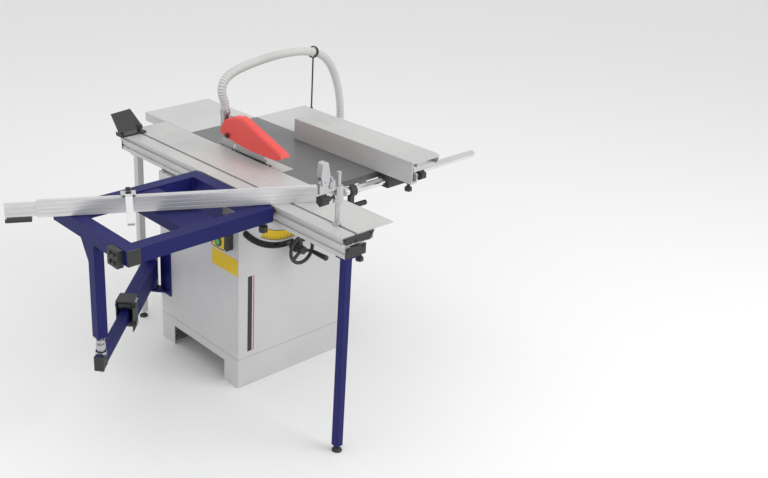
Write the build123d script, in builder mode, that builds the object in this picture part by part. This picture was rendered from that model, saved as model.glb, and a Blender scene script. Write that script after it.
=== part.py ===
from build123d import *
import os
from math import asin, cos, degrees, pi, radians, sin, tan

# Sliding-table panel saw with outrigger frame, swing arm, crosscut fence and rip fence.
# Millimetres. Origin: on the floor, at the centre of the cabinet's four floor bolts.
# +X to the operator's right, +Y to the rear (feed direction), +Z up.

os.makedirs("parts", exist_ok=True)

# ---------------------------------------------------------------- driving dimensions
TABLE_TOP = 850.0          # working height of every table surface
TABLE_LENGTH = 800.0       # main table along the feed direction
TABLE_WIDTH = 350.0        # main table across the feed direction
TABLE_LEFT = -28.0         # main table's left edge
TABLE_FRONT = -436.0
SKIN = 8.0                 # casting skin
SKIRT_HEIGHT = 26.0
SKIRT_WALL = 10.0

CABINET_WIDTH = 528.0
CABINET_DEPTH = 526.0
CABINET_TOP = 764.0
PLINTH_TOP = 126.0
SHEET = 2.5
FLOOR_BOLT_SPACING = 446.0
FLOOR_BOLT_HOLE = 6.5      # hole radius for M12

BLADE_X = -20.0            # blade plane, and the tilt axis lies in it at table height
BLADE_Y = -22.0
BLADE_RADIUS = 127.0
BLADE_HEIGHT = 65.0        # blade above the table at rest
BLADE_KERF = 2.6
ARBOR_BORE = 15.0

CARRIAGE_LENGTH = 1364.0
CARRIAGE_FRONT = -812.0
CARRIAGE_LEFT = -266.0
CARRIAGE_PLATE = 5.0
TABLE_GAP = 2.0            # carriage to main table
T_SLOT_X = -202.0
T_SLOT_MOUTH = 12.0
T_SLOT_WIDTH = 22.0

BEAM_WIDTH = 88.0
BEAM_LEFT = -250.0
BEAM_HEIGHT = 42.0

FRAME_TUBE_WIDTH = 50.0
FRAME_TUBE_HEIGHT = 54.0
FRAME_TOP = 848.0
FRAME_LEFT = -878.0
FRAME_FRONT = -472.0
FRAME_REAR = -10.0
FRAME_WALL = 2.5

ARM_PIVOT = (-303.0, 278.0)
POST_PIN = (-858.0, -241.0)
ARM_MIDDLE_Z = 338.0
ARM_OUTER = (60.0, 80.0)   # width, height
ARM_INNER = (30.0, 48.0)

RAIL_RADIUS = 15.0
RAIL_Y = -472.0
RAIL_Z = 822.0
RAIL_START = 64.0
RAIL_END = 769.0

FENCE_FACE_X = 262.0       # rip fence guiding face at rest
FENCE_LENGTH = 659.0
FENCE_FRONT = -617.0
FENCE_HEIGHT = 86.0
FENCE_FLANGE = 142.0

CROSS_ANGLE = -28.9        # crosscut fence direction at rest, from +X
CROSS_LENGTH = 975.0
CROSS_THICK = 28.0
CROSS_HEIGHT = 56.0
CROSS_END = (-122.0, -530.0)
CROSS_EXTENDED = 108.0

HANDWHEEL_DROP = 283.0     # shaft below the tilt axis
HANDWHEEL_RADIUS = 61.0
HANDWHEEL_Y = -342.0
TILT_RANGE = 45.0

HOSE_RADIUS = 18.5
RUNNING = 0.05             # radial clearance of a shaft in its bore
CLEAR = 0.5                # clearance between pieces that pass each other
ROLLER_GAP = 2.0

# ---------------------------------------------------------------- places worked out
TABLE_RIGHT = TABLE_LEFT + TABLE_WIDTH
TABLE_REAR = TABLE_FRONT + TABLE_LENGTH
TABLE_UNDER = TABLE_TOP - SKIRT_HEIGHT
CARRIAGE_REAR = CARRIAGE_FRONT + CARRIAGE_LENGTH
CARRIAGE_RIGHT = TABLE_LEFT - TABLE_GAP
PLATE_UNDER = TABLE_TOP - CARRIAGE_PLATE
BEAM_RIGHT = BEAM_LEFT + BEAM_WIDTH
BEAM_UNDER = CABINET_TOP + 4.0
BEAM_TOP = BEAM_UNDER + BEAM_HEIGHT
BODY_UNDER = BEAM_TOP + ROLLER_GAP
HALF_W = CABINET_WIDTH / 2
HALF_D = CABINET_DEPTH / 2
FRAME_UNDER = FRAME_TOP - FRAME_TUBE_HEIGHT
FRAME_RIGHT = CARRIAGE_LEFT - 7.0
ARBOR_Z = TABLE_TOP + BLADE_HEIGHT - BLADE_RADIUS
SHAFT_Z = TABLE_TOP - HANDWHEEL_DROP
ARM_DIRECTION = Vector(POST_PIN[0] - ARM_PIVOT[0], POST_PIN[1] - ARM_PIVOT[1]).normalized()
CROSS_AXIS = Vector(cos(radians(CROSS_ANGLE)), sin(radians(CROSS_ANGLE)))
CROSS_REAR = Vector(-CROSS_AXIS.Y, CROSS_AXIS.X)
CROSS_BOTTOM = TABLE_TOP + 0.6


# ---------------------------------------------------------------- shared shapes
def save(piece, name):
    """Label a finished piece and write it as its own file."""
    piece.part.label = name
    export_step(piece.part, f"parts/{name}.step")


def block(low, high, mode=Mode.ADD):
    """Box between two opposite corners."""
    with Locations(tuple((a + b) / 2 for a, b in zip(low, high))):
        Box(*[b - a for a, b in zip(low, high)], mode=mode)


def bar(start, end, radius, bore=0.0, mode=Mode.ADD):
    """Round bar, or tube when it has a bore, between two points."""
    along = Vector(*end) - Vector(*start)
    with BuildSketch(Plane(origin=start, z_dir=along)) as section:
        Circle(radius)
        if bore:
            Circle(bore, mode=Mode.SUBTRACT)
    extrude(section.sketch, amount=along.length, mode=mode)


def cone(start, end, radius, end_radius, mode=Mode.ADD):
    """Frustum between two points."""
    along = Vector(*end) - Vector(*start)
    with Locations(Plane(origin=start, z_dir=along)):
        Cone(radius, end_radius, along.length, align=(Align.CENTER, Align.CENTER, Align.MIN), mode=mode)


def prism(points, plane, depth, mode=Mode.ADD):
    """Outline in a plane, pushed along the plane's normal."""
    with BuildSketch(plane) as outline:
        Polygon(*points, align=None)
    extrude(outline.sketch, amount=depth, mode=mode)


def hexagon(start, end, across, mode=Mode.ADD):
    """Hexagonal nut or bolt head between two points."""
    along = Vector(*end) - Vector(*start)
    with BuildSketch(Plane(origin=start, z_dir=along)) as section:
        RegularPolygon(across / 2, 6, major_radius=False)
    extrude(section.sketch, amount=along.length, mode=mode)


def sector(plane, centre, inner, outer, start, sweep, depth, mode=Mode.ADD):
    """Ring sector pushed along the plane's normal."""
    with BuildSketch(plane) as outline:
        with BuildLine():
            outside = CenterArc(centre, outer, start, sweep)
            inside = CenterArc(centre, inner, start, sweep)
            Line(outside @ 0, inside @ 0)
            Line(outside @ 1, inside @ 1)
        make_face()
    extrude(outline.sketch, amount=depth, mode=mode)


def arc_slot(plane, centre, radius, start, sweep, width, depth, mode=Mode.SUBTRACT):
    """Round-ended slot along an arc."""
    ends = [(centre[0] + radius * cos(radians(angle)), centre[1] + radius * sin(radians(angle)))
            for angle in (start, start + sweep)]
    sector(plane, centre, radius - width / 2, radius + width / 2, start, sweep, depth, mode)
    with BuildSketch(plane) as outline:
        with Locations(*ends):
            Circle(width / 2)
    extrude(outline.sketch, amount=depth, mode=mode)


def star_knob(start, end, radius, lobes=6):
    """Lobed hand knob with its skirt towards the start point."""
    along = Vector(*end) - Vector(*start)
    length = along.length
    base = Plane(origin=start, z_dir=along)
    with BuildSketch(base.offset(length * 0.35)) as head:
        Circle(radius * 0.86)
        with PolarLocations(radius * 0.72, lobes):
            Circle(radius * 0.28)
    extrude(head.sketch, amount=length * 0.65)
    bar(start, tuple(Vector(*start) + along * 0.35), radius * 0.5)


def wall_y(y):
    """Plane facing the operator at this y, with X across and Z up."""
    return Plane.XZ.offset(-y)


def wall_x(x):
    """Plane facing right at this x, with Y across and Z up."""
    return Plane.YZ.offset(x)


def floor_z(z):
    """Horizontal plane at this height."""
    return Plane.XY.offset(z)


# ---------------------------------------------------------------- cabinet
ARCH_HALF = 174.0
ARCH_TOP = 90.0
FOOT_FLANGE = 76.0
with BuildPart() as plinth:
    block((-HALF_W, -HALF_D, 0), (HALF_W, HALF_D, PLINTH_TOP))
    block((-HALF_W + SHEET, -HALF_D + SHEET, -1), (HALF_W - SHEET, HALF_D - SHEET, PLINTH_TOP + 1),
          mode=Mode.SUBTRACT)
    block((-HALF_W - 1, -ARCH_HALF, -1), (HALF_W + 1, ARCH_HALF, ARCH_TOP), mode=Mode.SUBTRACT)
    for side in (-1, 1):
        for end in (-1, 1):
            corner = (side * (HALF_W - SHEET), end * (HALF_D - SHEET))
            inner = (side * (HALF_W - FOOT_FLANGE), end * (HALF_D - FOOT_FLANGE))
            block((min(corner[0], inner[0]), min(corner[1], inner[1]), 0),
                  (max(corner[0], inner[0]), max(corner[1], inner[1]), 5))
        block((min(side * HALF_W, side * (HALF_W - 14)), -ARCH_HALF, ARCH_TOP),
              (max(side * HALF_W, side * (HALF_W - 14)), ARCH_HALF, ARCH_TOP + SHEET))
    with Locations((0, 0, 5)):
        with GridLocations(FLOOR_BOLT_SPACING, FLOOR_BOLT_SPACING, 2, 2):
            Cylinder(FLOOR_BOLT_HOLE, 20, mode=Mode.SUBTRACT)
save(plinth, "plinth")

SEAM = 1.5
PANEL_FOOT = PLINTH_TOP + SEAM
FLANGE_IN = 24.0
SLOT_WIDTH = 20.0
TILT_AXIS = (BLADE_X, TABLE_TOP)
SLOT_START = -90.0 + 3.5
SLOT_SWEEP = -(TILT_RANGE + 7.0)
with BuildPart() as cabinet_front:
    block((-HALF_W, -HALF_D, PANEL_FOOT), (HALF_W, -HALF_D + SHEET, CABINET_TOP))
    block((-HALF_W, -HALF_D + SHEET, CABINET_TOP - SHEET),
          (HALF_W, -HALF_D + FLANGE_IN, CABINET_TOP))
    block((-HALF_W + SHEET + CLEAR, -HALF_D + SHEET, PLINTH_TOP - 20),
          (HALF_W - SHEET - CLEAR, -HALF_D + 2 * SHEET, PANEL_FOOT + 20))
    block((-HALF_W + SHEET + CLEAR, -HALF_D + SHEET, PLINTH_TOP - 21),
          (HALF_W - SHEET - CLEAR, -HALF_D + SHEET + CLEAR, PLINTH_TOP), mode=Mode.SUBTRACT)
    arc_slot(wall_y(-HALF_D + SHEET + 1), TILT_AXIS, HANDWHEEL_DROP, SLOT_START, SLOT_SWEEP,
             SLOT_WIDTH, SHEET + 2)
save(cabinet_front, "cabinet_front")

PORT_X = 70.0
PORT_Z = 300.0
PORT_RADIUS = 50.0
PORT_WALL = 3.0
PORT_STUB = 50.0           # length the extraction hose is pushed on
PORT_REACH = 110.0
with BuildPart() as cabinet_rear:
    block((-HALF_W, HALF_D - SHEET, PANEL_FOOT), (HALF_W, HALF_D, CABINET_TOP))
    block((-HALF_W, HALF_D - FLANGE_IN, CABINET_TOP - SHEET),
          (HALF_W, HALF_D - SHEET, CABINET_TOP))
    bar((PORT_X, HALF_D - 10, PORT_Z), (PORT_X, HALF_D + 5, PORT_Z), PORT_RADIUS - 2,
        mode=Mode.SUBTRACT)
    for row in range(6):
        z = 600 + row * 20
        block((-60, HALF_D - SHEET - 1, z), (60, HALF_D + 1, z + 5), mode=Mode.SUBTRACT)
save(cabinet_rear, "cabinet_rear")

with BuildPart() as cabinet_sides:
    for side in (-1, 1):
        block((min(side * HALF_W, side * (HALF_W - SHEET)), -HALF_D + SHEET + CLEAR, PANEL_FOOT),
              (max(side * HALF_W, side * (HALF_W - SHEET)), HALF_D - SHEET - CLEAR,
               CABINET_TOP - SHEET - CLEAR))
        block((min(side * HALF_W, side * (HALF_W - FLANGE_IN)), -HALF_D + FLANGE_IN + CLEAR,
               CABINET_TOP - 2 * SHEET - CLEAR),
              (max(side * HALF_W, side * (HALF_W - FLANGE_IN)), HALF_D - FLANGE_IN - CLEAR,
               CABINET_TOP - SHEET - CLEAR))
save(cabinet_sides, "cabinet_sides")

BRANCH_Y = HALF_D + 36.0
BRANCH_END = PORT_X + 90.0
with BuildPart() as dust_port:
    bar((PORT_X, HALF_D - 20, PORT_Z), (PORT_X, HALF_D, PORT_Z), PORT_RADIUS - 2 - 2 * CLEAR)
    bar((PORT_X, HALF_D, PORT_Z), (PORT_X, HALF_D + PORT_REACH - PORT_STUB, PORT_Z), PORT_RADIUS)
    bar((PORT_X, HALF_D, PORT_Z), (PORT_X, HALF_D + PORT_REACH, PORT_Z), PORT_RADIUS - 2 - CLEAR)
    bar((PORT_X, HALF_D, PORT_Z), (PORT_X, HALF_D + 4, PORT_Z), PORT_RADIUS + 14)
    bar((PORT_X, BRANCH_Y, PORT_Z), (BRANCH_END, BRANCH_Y, PORT_Z), HOSE_RADIUS)
    bar((PORT_X, BRANCH_Y, PORT_Z), (BRANCH_END + 1, BRANCH_Y, PORT_Z), HOSE_RADIUS - PORT_WALL,
        mode=Mode.SUBTRACT)
    bar((PORT_X, HALF_D - 21, PORT_Z), (PORT_X, HALF_D + PORT_REACH + 1, PORT_Z),
        PORT_RADIUS - 2 - PORT_WALL, mode=Mode.SUBTRACT)
save(dust_port, "dust_port")

# ---------------------------------------------------------------- controls on the cabinet
SWITCH_Y = (-230.0, -136.0)
SWITCH_Z = (590.0, 700.0)
SWITCH_DEPTH = 34.0
SWITCH_FACE = -HALF_W - SWITCH_DEPTH
BUTTON_RADIUS = 15.0
BUTTON_Y = sum(SWITCH_Y) / 2
STOP_Z = 666.0
START_Z = 622.0
with BuildPart() as switch_box:
    block((SWITCH_FACE, SWITCH_Y[0], SWITCH_Z[0]), (-HALF_W, SWITCH_Y[1], SWITCH_Z[1]))
    fillet(switch_box.edges().filter_by(Axis.X), 8)
    fillet(switch_box.faces().filter_by(Axis.X).sort_by(Axis.X)[0].edges(), 3)
    for z in (STOP_Z, START_Z):
        bar((SWITCH_FACE - 1, BUTTON_Y, z), (SWITCH_FACE + 18, BUTTON_Y, z),
            BUTTON_RADIUS + CLEAR, mode=Mode.SUBTRACT)
save(switch_box, "switch_box")

for name, z, proud in (("stop_button", STOP_Z, 12.0), ("start_button", START_Z, 7.0)):
    with BuildPart() as button:
        bar((SWITCH_FACE - proud, BUTTON_Y, z), (SWITCH_FACE + 10, BUTTON_Y, z), BUTTON_RADIUS)
        fillet(button.faces().filter_by(Axis.X).sort_by(Axis.X)[0].edges(), 3)
    save(button, name)

# ---------------------------------------------------------------- main table
INSERT_WIDTH = 57.0
INSERT_FRONT = -229.0
INSERT_REAR = 190.0
INSERT_THICK = 6.0
INSERT_LEDGE = 7.0
with BuildPart() as main_table:
    block((TABLE_LEFT, TABLE_FRONT, TABLE_UNDER), (TABLE_RIGHT, TABLE_REAR, TABLE_TOP))
    fillet(main_table.edges().filter_by(Axis.Z), 4)
    block((TABLE_LEFT + SKIRT_WALL, TABLE_FRONT + SKIRT_WALL, TABLE_UNDER - 1),
          (TABLE_RIGHT - SKIRT_WALL, TABLE_REAR - SKIRT_WALL, TABLE_TOP - SKIN),
          mode=Mode.SUBTRACT)
    for y in (-300, 250):
        block((TABLE_LEFT + 5, y - 4, TABLE_UNDER + 4), (TABLE_RIGHT - 5, y + 4, TABLE_TOP - 5))
    block((230, TABLE_FRONT + 5, TABLE_UNDER + 4), (238, TABLE_REAR - 5, TABLE_TOP - 5))
    block((TABLE_LEFT - 1, INSERT_FRONT, TABLE_UNDER - 1),
          (TABLE_LEFT + INSERT_WIDTH, INSERT_REAR, TABLE_TOP + 1), mode=Mode.SUBTRACT)
    for y0, y1 in ((INSERT_FRONT, INSERT_FRONT + INSERT_LEDGE),
                   (INSERT_REAR - INSERT_LEDGE, INSERT_REAR)):
        block((TABLE_LEFT + 24, y0, TABLE_TOP - SKIN - 6),
              (TABLE_LEFT + INSERT_WIDTH, y1, TABLE_TOP - INSERT_THICK))
    chamfer(main_table.faces().sort_by(Axis.Z)[-1].edges().filter_by(Axis.Y).sort_by(Axis.X)[-1], 1)
save(main_table, "main_table")

SLOT_RIGHT = BLADE_X + 7.0
with BuildPart() as table_insert:
    block((TABLE_LEFT + CLEAR, INSERT_FRONT + CLEAR, TABLE_TOP - INSERT_THICK),
          (TABLE_LEFT + INSERT_WIDTH - CLEAR, INSERT_REAR - CLEAR, TABLE_TOP))
    block((TABLE_LEFT - 1, INSERT_FRONT + 72, TABLE_TOP - INSERT_THICK - 1),
          (SLOT_RIGHT, INSERT_REAR - 4, TABLE_TOP + 1), mode=Mode.SUBTRACT)
    for y in (INSERT_FRONT + 14, INSERT_REAR - 14):
        with Locations((TABLE_LEFT + 44, y, TABLE_TOP)):
            Cylinder(3.2, 3, mode=Mode.SUBTRACT)
save(table_insert, "table_insert")

# ---------------------------------------------------------------- extension tables
EXT_SHEET = 2.5
EXT_DROP = 38.0
RIGHT_EXT_WIDTH = 281.0
REAR_EXT_LENGTH = 350.0


def folded_sheet(low_x, low_y, high_x, high_y):
    """Flat sheet-metal table with its four edges folded down."""
    block((low_x, low_y, TABLE_TOP - EXT_DROP), (high_x, high_y, TABLE_TOP))
    block((low_x + EXT_SHEET, low_y + EXT_SHEET, TABLE_TOP - EXT_DROP - 1),
          (high_x - EXT_SHEET, high_y - EXT_SHEET, TABLE_TOP - EXT_SHEET), mode=Mode.SUBTRACT)


RIGHT_EXT_LEFT = TABLE_RIGHT + CLEAR
RIGHT_EXT_RIGHT = RIGHT_EXT_LEFT + RIGHT_EXT_WIDTH
with BuildPart() as right_extension:
    folded_sheet(RIGHT_EXT_LEFT, TABLE_FRONT + 2, RIGHT_EXT_RIGHT, TABLE_REAR + 4)
    fillet(right_extension.faces().sort_by(Axis.Z)[-1].edges(), 2)
save(right_extension, "right_extension")

REAR_EXT_FRONT = TABLE_REAR + 4 + CLEAR
REAR_EXT_REAR = REAR_EXT_FRONT + REAR_EXT_LENGTH
with BuildPart() as rear_extension:
    folded_sheet(TABLE_LEFT, REAR_EXT_FRONT, TABLE_RIGHT - 5, REAR_EXT_REAR)
    fillet(rear_extension.faces().sort_by(Axis.Z)[-1].edges(), 2)
    bar((TABLE_LEFT - 1, REAR_EXT_FRONT + 155, TABLE_TOP - 20),
        (TABLE_LEFT + 10, REAR_EXT_FRONT + 155, TABLE_TOP - 20), 5, mode=Mode.SUBTRACT)
save(rear_extension, "rear_extension")

STAY_X = (40.0, 250.0)
BRACKET_X = (-2.0, 196.0)
with BuildPart() as table_supports:
    for x in BRACKET_X:
        for side in (-1, 1):
            foot_y = side * (HALF_D - FLANGE_IN / 2)
            block((x - 18, foot_y - 11, CABINET_TOP), (x + 18, foot_y + 11, TABLE_UNDER))
        block((x - 18, TABLE_FRONT + 2, TABLE_UNDER - 6), (x + 18, -HALF_D + 2, TABLE_UNDER))
        block((x - 18, HALF_D - 2, TABLE_UNDER - 6), (x + 18, TABLE_REAR - 2, TABLE_UNDER))
    for side in (-1, 1):
        foot_y = side * (HALF_D - FLANGE_IN / 2)
        block((BEAM_LEFT, foot_y - 11, CABINET_TOP), (BEAM_RIGHT, foot_y + 11, BEAM_UNDER))
    for x in STAY_X:
        block((x - 15, TABLE_REAR + 0.5, TABLE_UNDER - 30), (x + 15, TABLE_REAR + 4, TABLE_TOP - 6))
        prism([(REAR_EXT_FRONT + EXT_SHEET + 1, TABLE_TOP - EXT_SHEET - 4),
               (REAR_EXT_REAR - 60, TABLE_TOP - EXT_SHEET - 4),
               (REAR_EXT_REAR - 60, TABLE_TOP - EXT_SHEET),
               (REAR_EXT_FRONT + EXT_SHEET + 1, TABLE_TOP - EXT_SHEET)], wall_x(x - 12), 24)
        block((x - 3, REAR_EXT_FRONT + EXT_SHEET + 1, TABLE_TOP - EXT_DROP + 4),
              (x + 3, REAR_EXT_REAR - 60, TABLE_TOP - EXT_SHEET - 4))
    for y in (-300.0, 230.0):
        block((RIGHT_EXT_LEFT + EXT_SHEET + 1, y - 12, TABLE_TOP - EXT_SHEET - 4),
              (RIGHT_EXT_RIGHT - 40, y + 12, TABLE_TOP - EXT_SHEET))
        block((RIGHT_EXT_LEFT + EXT_SHEET + 1, y - 3, TABLE_TOP - EXT_DROP + 4),
              (RIGHT_EXT_RIGHT - 40, y + 3, TABLE_TOP - EXT_SHEET - 4))
save(table_supports, "table_supports")

# ---------------------------------------------------------------- beam, legs and feet
with BuildPart() as slide_beam:
    block((BEAM_LEFT, CARRIAGE_FRONT - 3, BEAM_UNDER), (BEAM_RIGHT, CARRIAGE_REAR + 6, BEAM_TOP))
    fillet(slide_beam.edges().filter_by(Axis.Y), 2)
    block((BEAM_LEFT + 22, CARRIAGE_FRONT - 4, BEAM_UNDER + 14),
          (BEAM_RIGHT - 22, CARRIAGE_REAR + 7, BEAM_TOP + 1), mode=Mode.SUBTRACT)
    block((BEAM_LEFT - 1, CARRIAGE_FRONT - 4, BEAM_UNDER + 16),
          (BEAM_LEFT + 5, CARRIAGE_REAR + 7, BEAM_UNDER + 26), mode=Mode.SUBTRACT)
save(slide_beam, "slide_beam")

with BuildPart() as beam_end_plates:
    for y0, y1 in ((CARRIAGE_FRONT - 8, CARRIAGE_FRONT - 3), (CARRIAGE_REAR + 6, CARRIAGE_REAR + 11)):
        block((BEAM_LEFT - 2, y0, BEAM_UNDER + 3), (BEAM_RIGHT + 2, y1, BEAM_TOP - 1))
        fillet(beam_end_plates.edges().group_by(Axis.Y)[-1].filter_by(Axis.Z), 2)
    for x in (BEAM_LEFT + 10, BEAM_RIGHT - 10):
        hexagon((x, CARRIAGE_FRONT - 8, BEAM_TOP - 9), (x, CARRIAGE_FRONT - 12, BEAM_TOP - 9), 10)
        hexagon((x, CARRIAGE_REAR + 11, BEAM_TOP - 9), (x, CARRIAGE_REAR + 15, BEAM_TOP - 9), 10)
save(beam_end_plates, "beam_end_plates")

LEG_SIDE = 30.0
LEG_WALL = 2.0
LEG_FOOT_TOP = 24.0
LEG_X = BEAM_LEFT + 5.0
LEGS = (("front_leg", CARRIAGE_FRONT - 3.0), ("rear_leg", CARRIAGE_REAR - 99.0))
LEG_PLATE = 5.0
for name, y in LEGS:
    with BuildPart() as leg:
        block((LEG_X, y, LEG_FOOT_TOP), (LEG_X + LEG_SIDE, y + LEG_SIDE, BEAM_UNDER - LEG_PLATE))
        fillet(leg.edges().filter_by(Axis.Z), 3)
        block((LEG_X + LEG_WALL, y + LEG_WALL, LEG_FOOT_TOP + 25),
              (LEG_X + LEG_SIDE - LEG_WALL, y + LEG_SIDE - LEG_WALL, BEAM_UNDER - LEG_PLATE + 1),
              mode=Mode.SUBTRACT)
        block((LEG_X - 4, y, BEAM_UNDER - LEG_PLATE), (LEG_X + LEG_SIDE + 30, y + 46, BEAM_UNDER))
        bar((LEG_X + LEG_SIDE / 2, y + LEG_SIDE / 2, LEG_FOOT_TOP - 1),
            (LEG_X + LEG_SIDE / 2, y + LEG_SIDE / 2, LEG_FOOT_TOP + 26), 5 + RUNNING,
            mode=Mode.SUBTRACT)
    save(leg, name)
    with BuildPart() as foot:
        middle = (LEG_X + LEG_SIDE / 2, y + LEG_SIDE / 2)
        cone((*middle, 0), (*middle, 7), 19, 17)
        cone((*middle, 7), (*middle, 13), 17, 9)
        bar((*middle, 13), (*middle, LEG_FOOT_TOP + 40), 5)
    save(foot, name + "_foot")

KNOB_X = BEAM_RIGHT - 4.0
with BuildPart() as carriage_lock:
    star_knob((KNOB_X, CARRIAGE_FRONT + 14, BEAM_UNDER - 11),
              (KNOB_X, CARRIAGE_FRONT + 14, BEAM_UNDER - 31), 14)
    bar((KNOB_X, CARRIAGE_FRONT + 14, BEAM_UNDER - CLEAR),
        (KNOB_X, CARRIAGE_FRONT + 14, BEAM_UNDER - 11), 4)
save(carriage_lock, "carriage_lock")

# ---------------------------------------------------------------- tilting saw unit
TRUNNION_Y = (-215.0, 205.0)
TRUNNION_THICK = 12.0
CRADLE_Y = (-201.0, 191.0)
CRADLE_THICK = 12.0
GUIDE_RADIUS = 115.0
STUD_RADIUS = 5.0
STUD_ANGLES = (-45.0, -70.0)
ROD_CENTRE_X = 50.0
ROD_GUIDE_Y = (-100.0, 56.0)
GUIDE_ROD_RADIUS = 10.0
SCREW_Y = -170.0
SCREW_RADIUS = 8.0
SHAFT_RADIUS = 6.0
SLEEVE_RADIUS = 8.5


def at_angle(radius, angle):
    """Point around the tilt axis, angle from +X."""
    return BLADE_X + radius * cos(radians(angle)), TABLE_TOP + radius * sin(radians(angle))


with BuildPart() as trunnions:
    for y in TRUNNION_Y:
        face = wall_y(y + TRUNNION_THICK)
        sector(face, TILT_AXIS, 85, 150, -36, -84, TRUNNION_THICK)
        prism([(48, 802), (100, 763), (106, TABLE_TOP - SKIN), (48, TABLE_TOP - SKIN)], face,
              TRUNNION_THICK)
        arc_slot(wall_y(y + TRUNNION_THICK + 1), TILT_AXIS, GUIDE_RADIUS, STUD_ANGLES[0] + 2,
                 -(TILT_RANGE + STUD_ANGLES[0] - STUD_ANGLES[1] + 4), 2 * STUD_RADIUS + 0.6,
                 TRUNNION_THICK + 2)
save(trunnions, "trunnions")

with BuildPart() as tilt_cradle:
    for y, stud_end in zip(CRADLE_Y, (TRUNNION_Y[0] - 4, TRUNNION_Y[1] + TRUNNION_THICK + 4)):
        prism([(8, 800), (70, 815), (92, 800), (92, 625), (30, 615), (-6, 700)],
              wall_y(y + CRADLE_THICK), CRADLE_THICK)
        for angle in STUD_ANGLES:
            x, z = at_angle(GUIDE_RADIUS, angle)
            bar((x, y + CRADLE_THICK / 2, z), (x, stud_end, z), STUD_RADIUS)
    block((ROD_CENTRE_X - 12, CRADLE_Y[0] + 1, 615), (ROD_CENTRE_X + 12, CRADLE_Y[1] + 1, 637))
    for near, far in ((CRADLE_Y[0] + 1, ROD_GUIDE_Y[0] + 14), (ROD_GUIDE_Y[1] - 14, CRADLE_Y[1] + 1)):
        block((ROD_CENTRE_X - 12, near, 803), (ROD_CENTRE_X + 12, far, 815))
    for y in ROD_GUIDE_Y:
        bar((ROD_CENTRE_X, y, 625), (ROD_CENTRE_X, y, 810), GUIDE_ROD_RADIUS)
    prism([(-38, 540), (0, 540), (35, 620), (35, 690), (-6, 700), (-38, 620)],
          wall_y(CRADLE_Y[0] + CRADLE_THICK), CRADLE_THICK)
    block((-34, CRADLE_Y[0] + 1, 536), (-6, SCREW_Y + 15, 550))
    bar((BLADE_X, SCREW_Y, 535), (BLADE_X, SCREW_Y, 551), SCREW_RADIUS - 2 + RUNNING,
        mode=Mode.SUBTRACT)
    bar((BLADE_X, CRADLE_Y[0] + 1, SHAFT_Z), (BLADE_X, HANDWHEEL_Y + 18, SHAFT_Z), SLEEVE_RADIUS + 1)
    bar((BLADE_X, CRADLE_Y[1], SHAFT_Z), (BLADE_X, HANDWHEEL_Y + 17, SHAFT_Z), 6 + RUNNING,
        mode=Mode.SUBTRACT)
save(tilt_cradle, "tilt_cradle")

with BuildPart() as raise_screw:
    bar((BLADE_X, SCREW_Y, 538), (BLADE_X, SCREW_Y, 586), SCREW_RADIUS - 2)
    bar((BLADE_X, SCREW_Y, 586), (BLADE_X, SCREW_Y, 792), SCREW_RADIUS)
    cone((BLADE_X, SCREW_Y, 585), (BLADE_X, SCREW_Y, 593), 17, 12)
save(raise_screw, "raise_screw")

BEARING_BORE = 12.0
BELT_X = (74.0, 90.0)
MOTOR_Z = 640.0
MOTOR_RADIUS = 68.0
ARBOR_PULLEY = 30.0
MOTOR_PULLEY = 45.0
FLANGE_THICK = 7.0
with BuildPart() as arbor_housing:
    block((5, BLADE_Y - 28, 715), (66, BLADE_Y + 28, ARBOR_Z + 24))
    fillet(arbor_housing.edges().filter_by(Axis.X), 8)
    block((36, ROD_GUIDE_Y[0] - 22, 715), (64, ROD_GUIDE_Y[1] + 22, 755))
    block((-34, SCREW_Y - 13, 725), (64, SCREW_Y + 13, 747))
    block((36, SCREW_Y, 725), (64, ROD_GUIDE_Y[0], 747))
    block((36, ROD_GUIDE_Y[1], 715), (64, 150, 755))
    block((BLADE_X + 1.2, 116, 735), (60, 150, 755))
    for y0, y1 in ((BLADE_Y - 68, BLADE_Y - 56), (BLADE_Y + 56, BLADE_Y + 68)):
        block((60, y0, 715), (100, y1, 745))
    block((94, BLADE_Y - 70, MOTOR_Z - 65), (100, BLADE_Y + 70, 745))
    for y in ROD_GUIDE_Y:
        bar((ROD_CENTRE_X, y, 700), (ROD_CENTRE_X, y, 770), GUIDE_ROD_RADIUS + RUNNING,
            mode=Mode.SUBTRACT)
    bar((BLADE_X, SCREW_Y, 700), (BLADE_X, SCREW_Y, 770), SCREW_RADIUS + RUNNING,
        mode=Mode.SUBTRACT)
    bar((0, BLADE_Y, ARBOR_Z), (70, BLADE_Y, ARBOR_Z), BEARING_BORE + RUNNING, mode=Mode.SUBTRACT)
    bar((90, BLADE_Y, MOTOR_Z), (104, BLADE_Y, MOTOR_Z), 20, mode=Mode.SUBTRACT)
save(arbor_housing, "arbor_housing")

BLADE_RIGHT = BLADE_X + BLADE_KERF / 2
BLADE_LEFT = BLADE_X - BLADE_KERF / 2
with BuildPart() as arbor:
    bar((BLADE_LEFT - 20, BLADE_Y, ARBOR_Z), (BLADE_RIGHT + 1, BLADE_Y, ARBOR_Z), ARBOR_BORE - 0.05)
    bar((BLADE_RIGHT, BLADE_Y, ARBOR_Z), (BLADE_RIGHT + FLANGE_THICK, BLADE_Y, ARBOR_Z), 25)
    bar((BLADE_RIGHT + FLANGE_THICK, BLADE_Y, ARBOR_Z), (BELT_X[1] + 2, BLADE_Y, ARBOR_Z), BEARING_BORE)
    bar((BLADE_LEFT - FLANGE_THICK, BLADE_Y, ARBOR_Z), (BLADE_LEFT, BLADE_Y, ARBOR_Z), 25,
        bore=ARBOR_BORE - 1)
    hexagon((BLADE_LEFT - FLANGE_THICK - 12, BLADE_Y, ARBOR_Z),
            (BLADE_LEFT - FLANGE_THICK, BLADE_Y, ARBOR_Z), 32)
    bar((BELT_X[0], BLADE_Y, ARBOR_Z), (BELT_X[1], BLADE_Y, ARBOR_Z), ARBOR_PULLEY)
save(arbor, "arbor")

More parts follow.
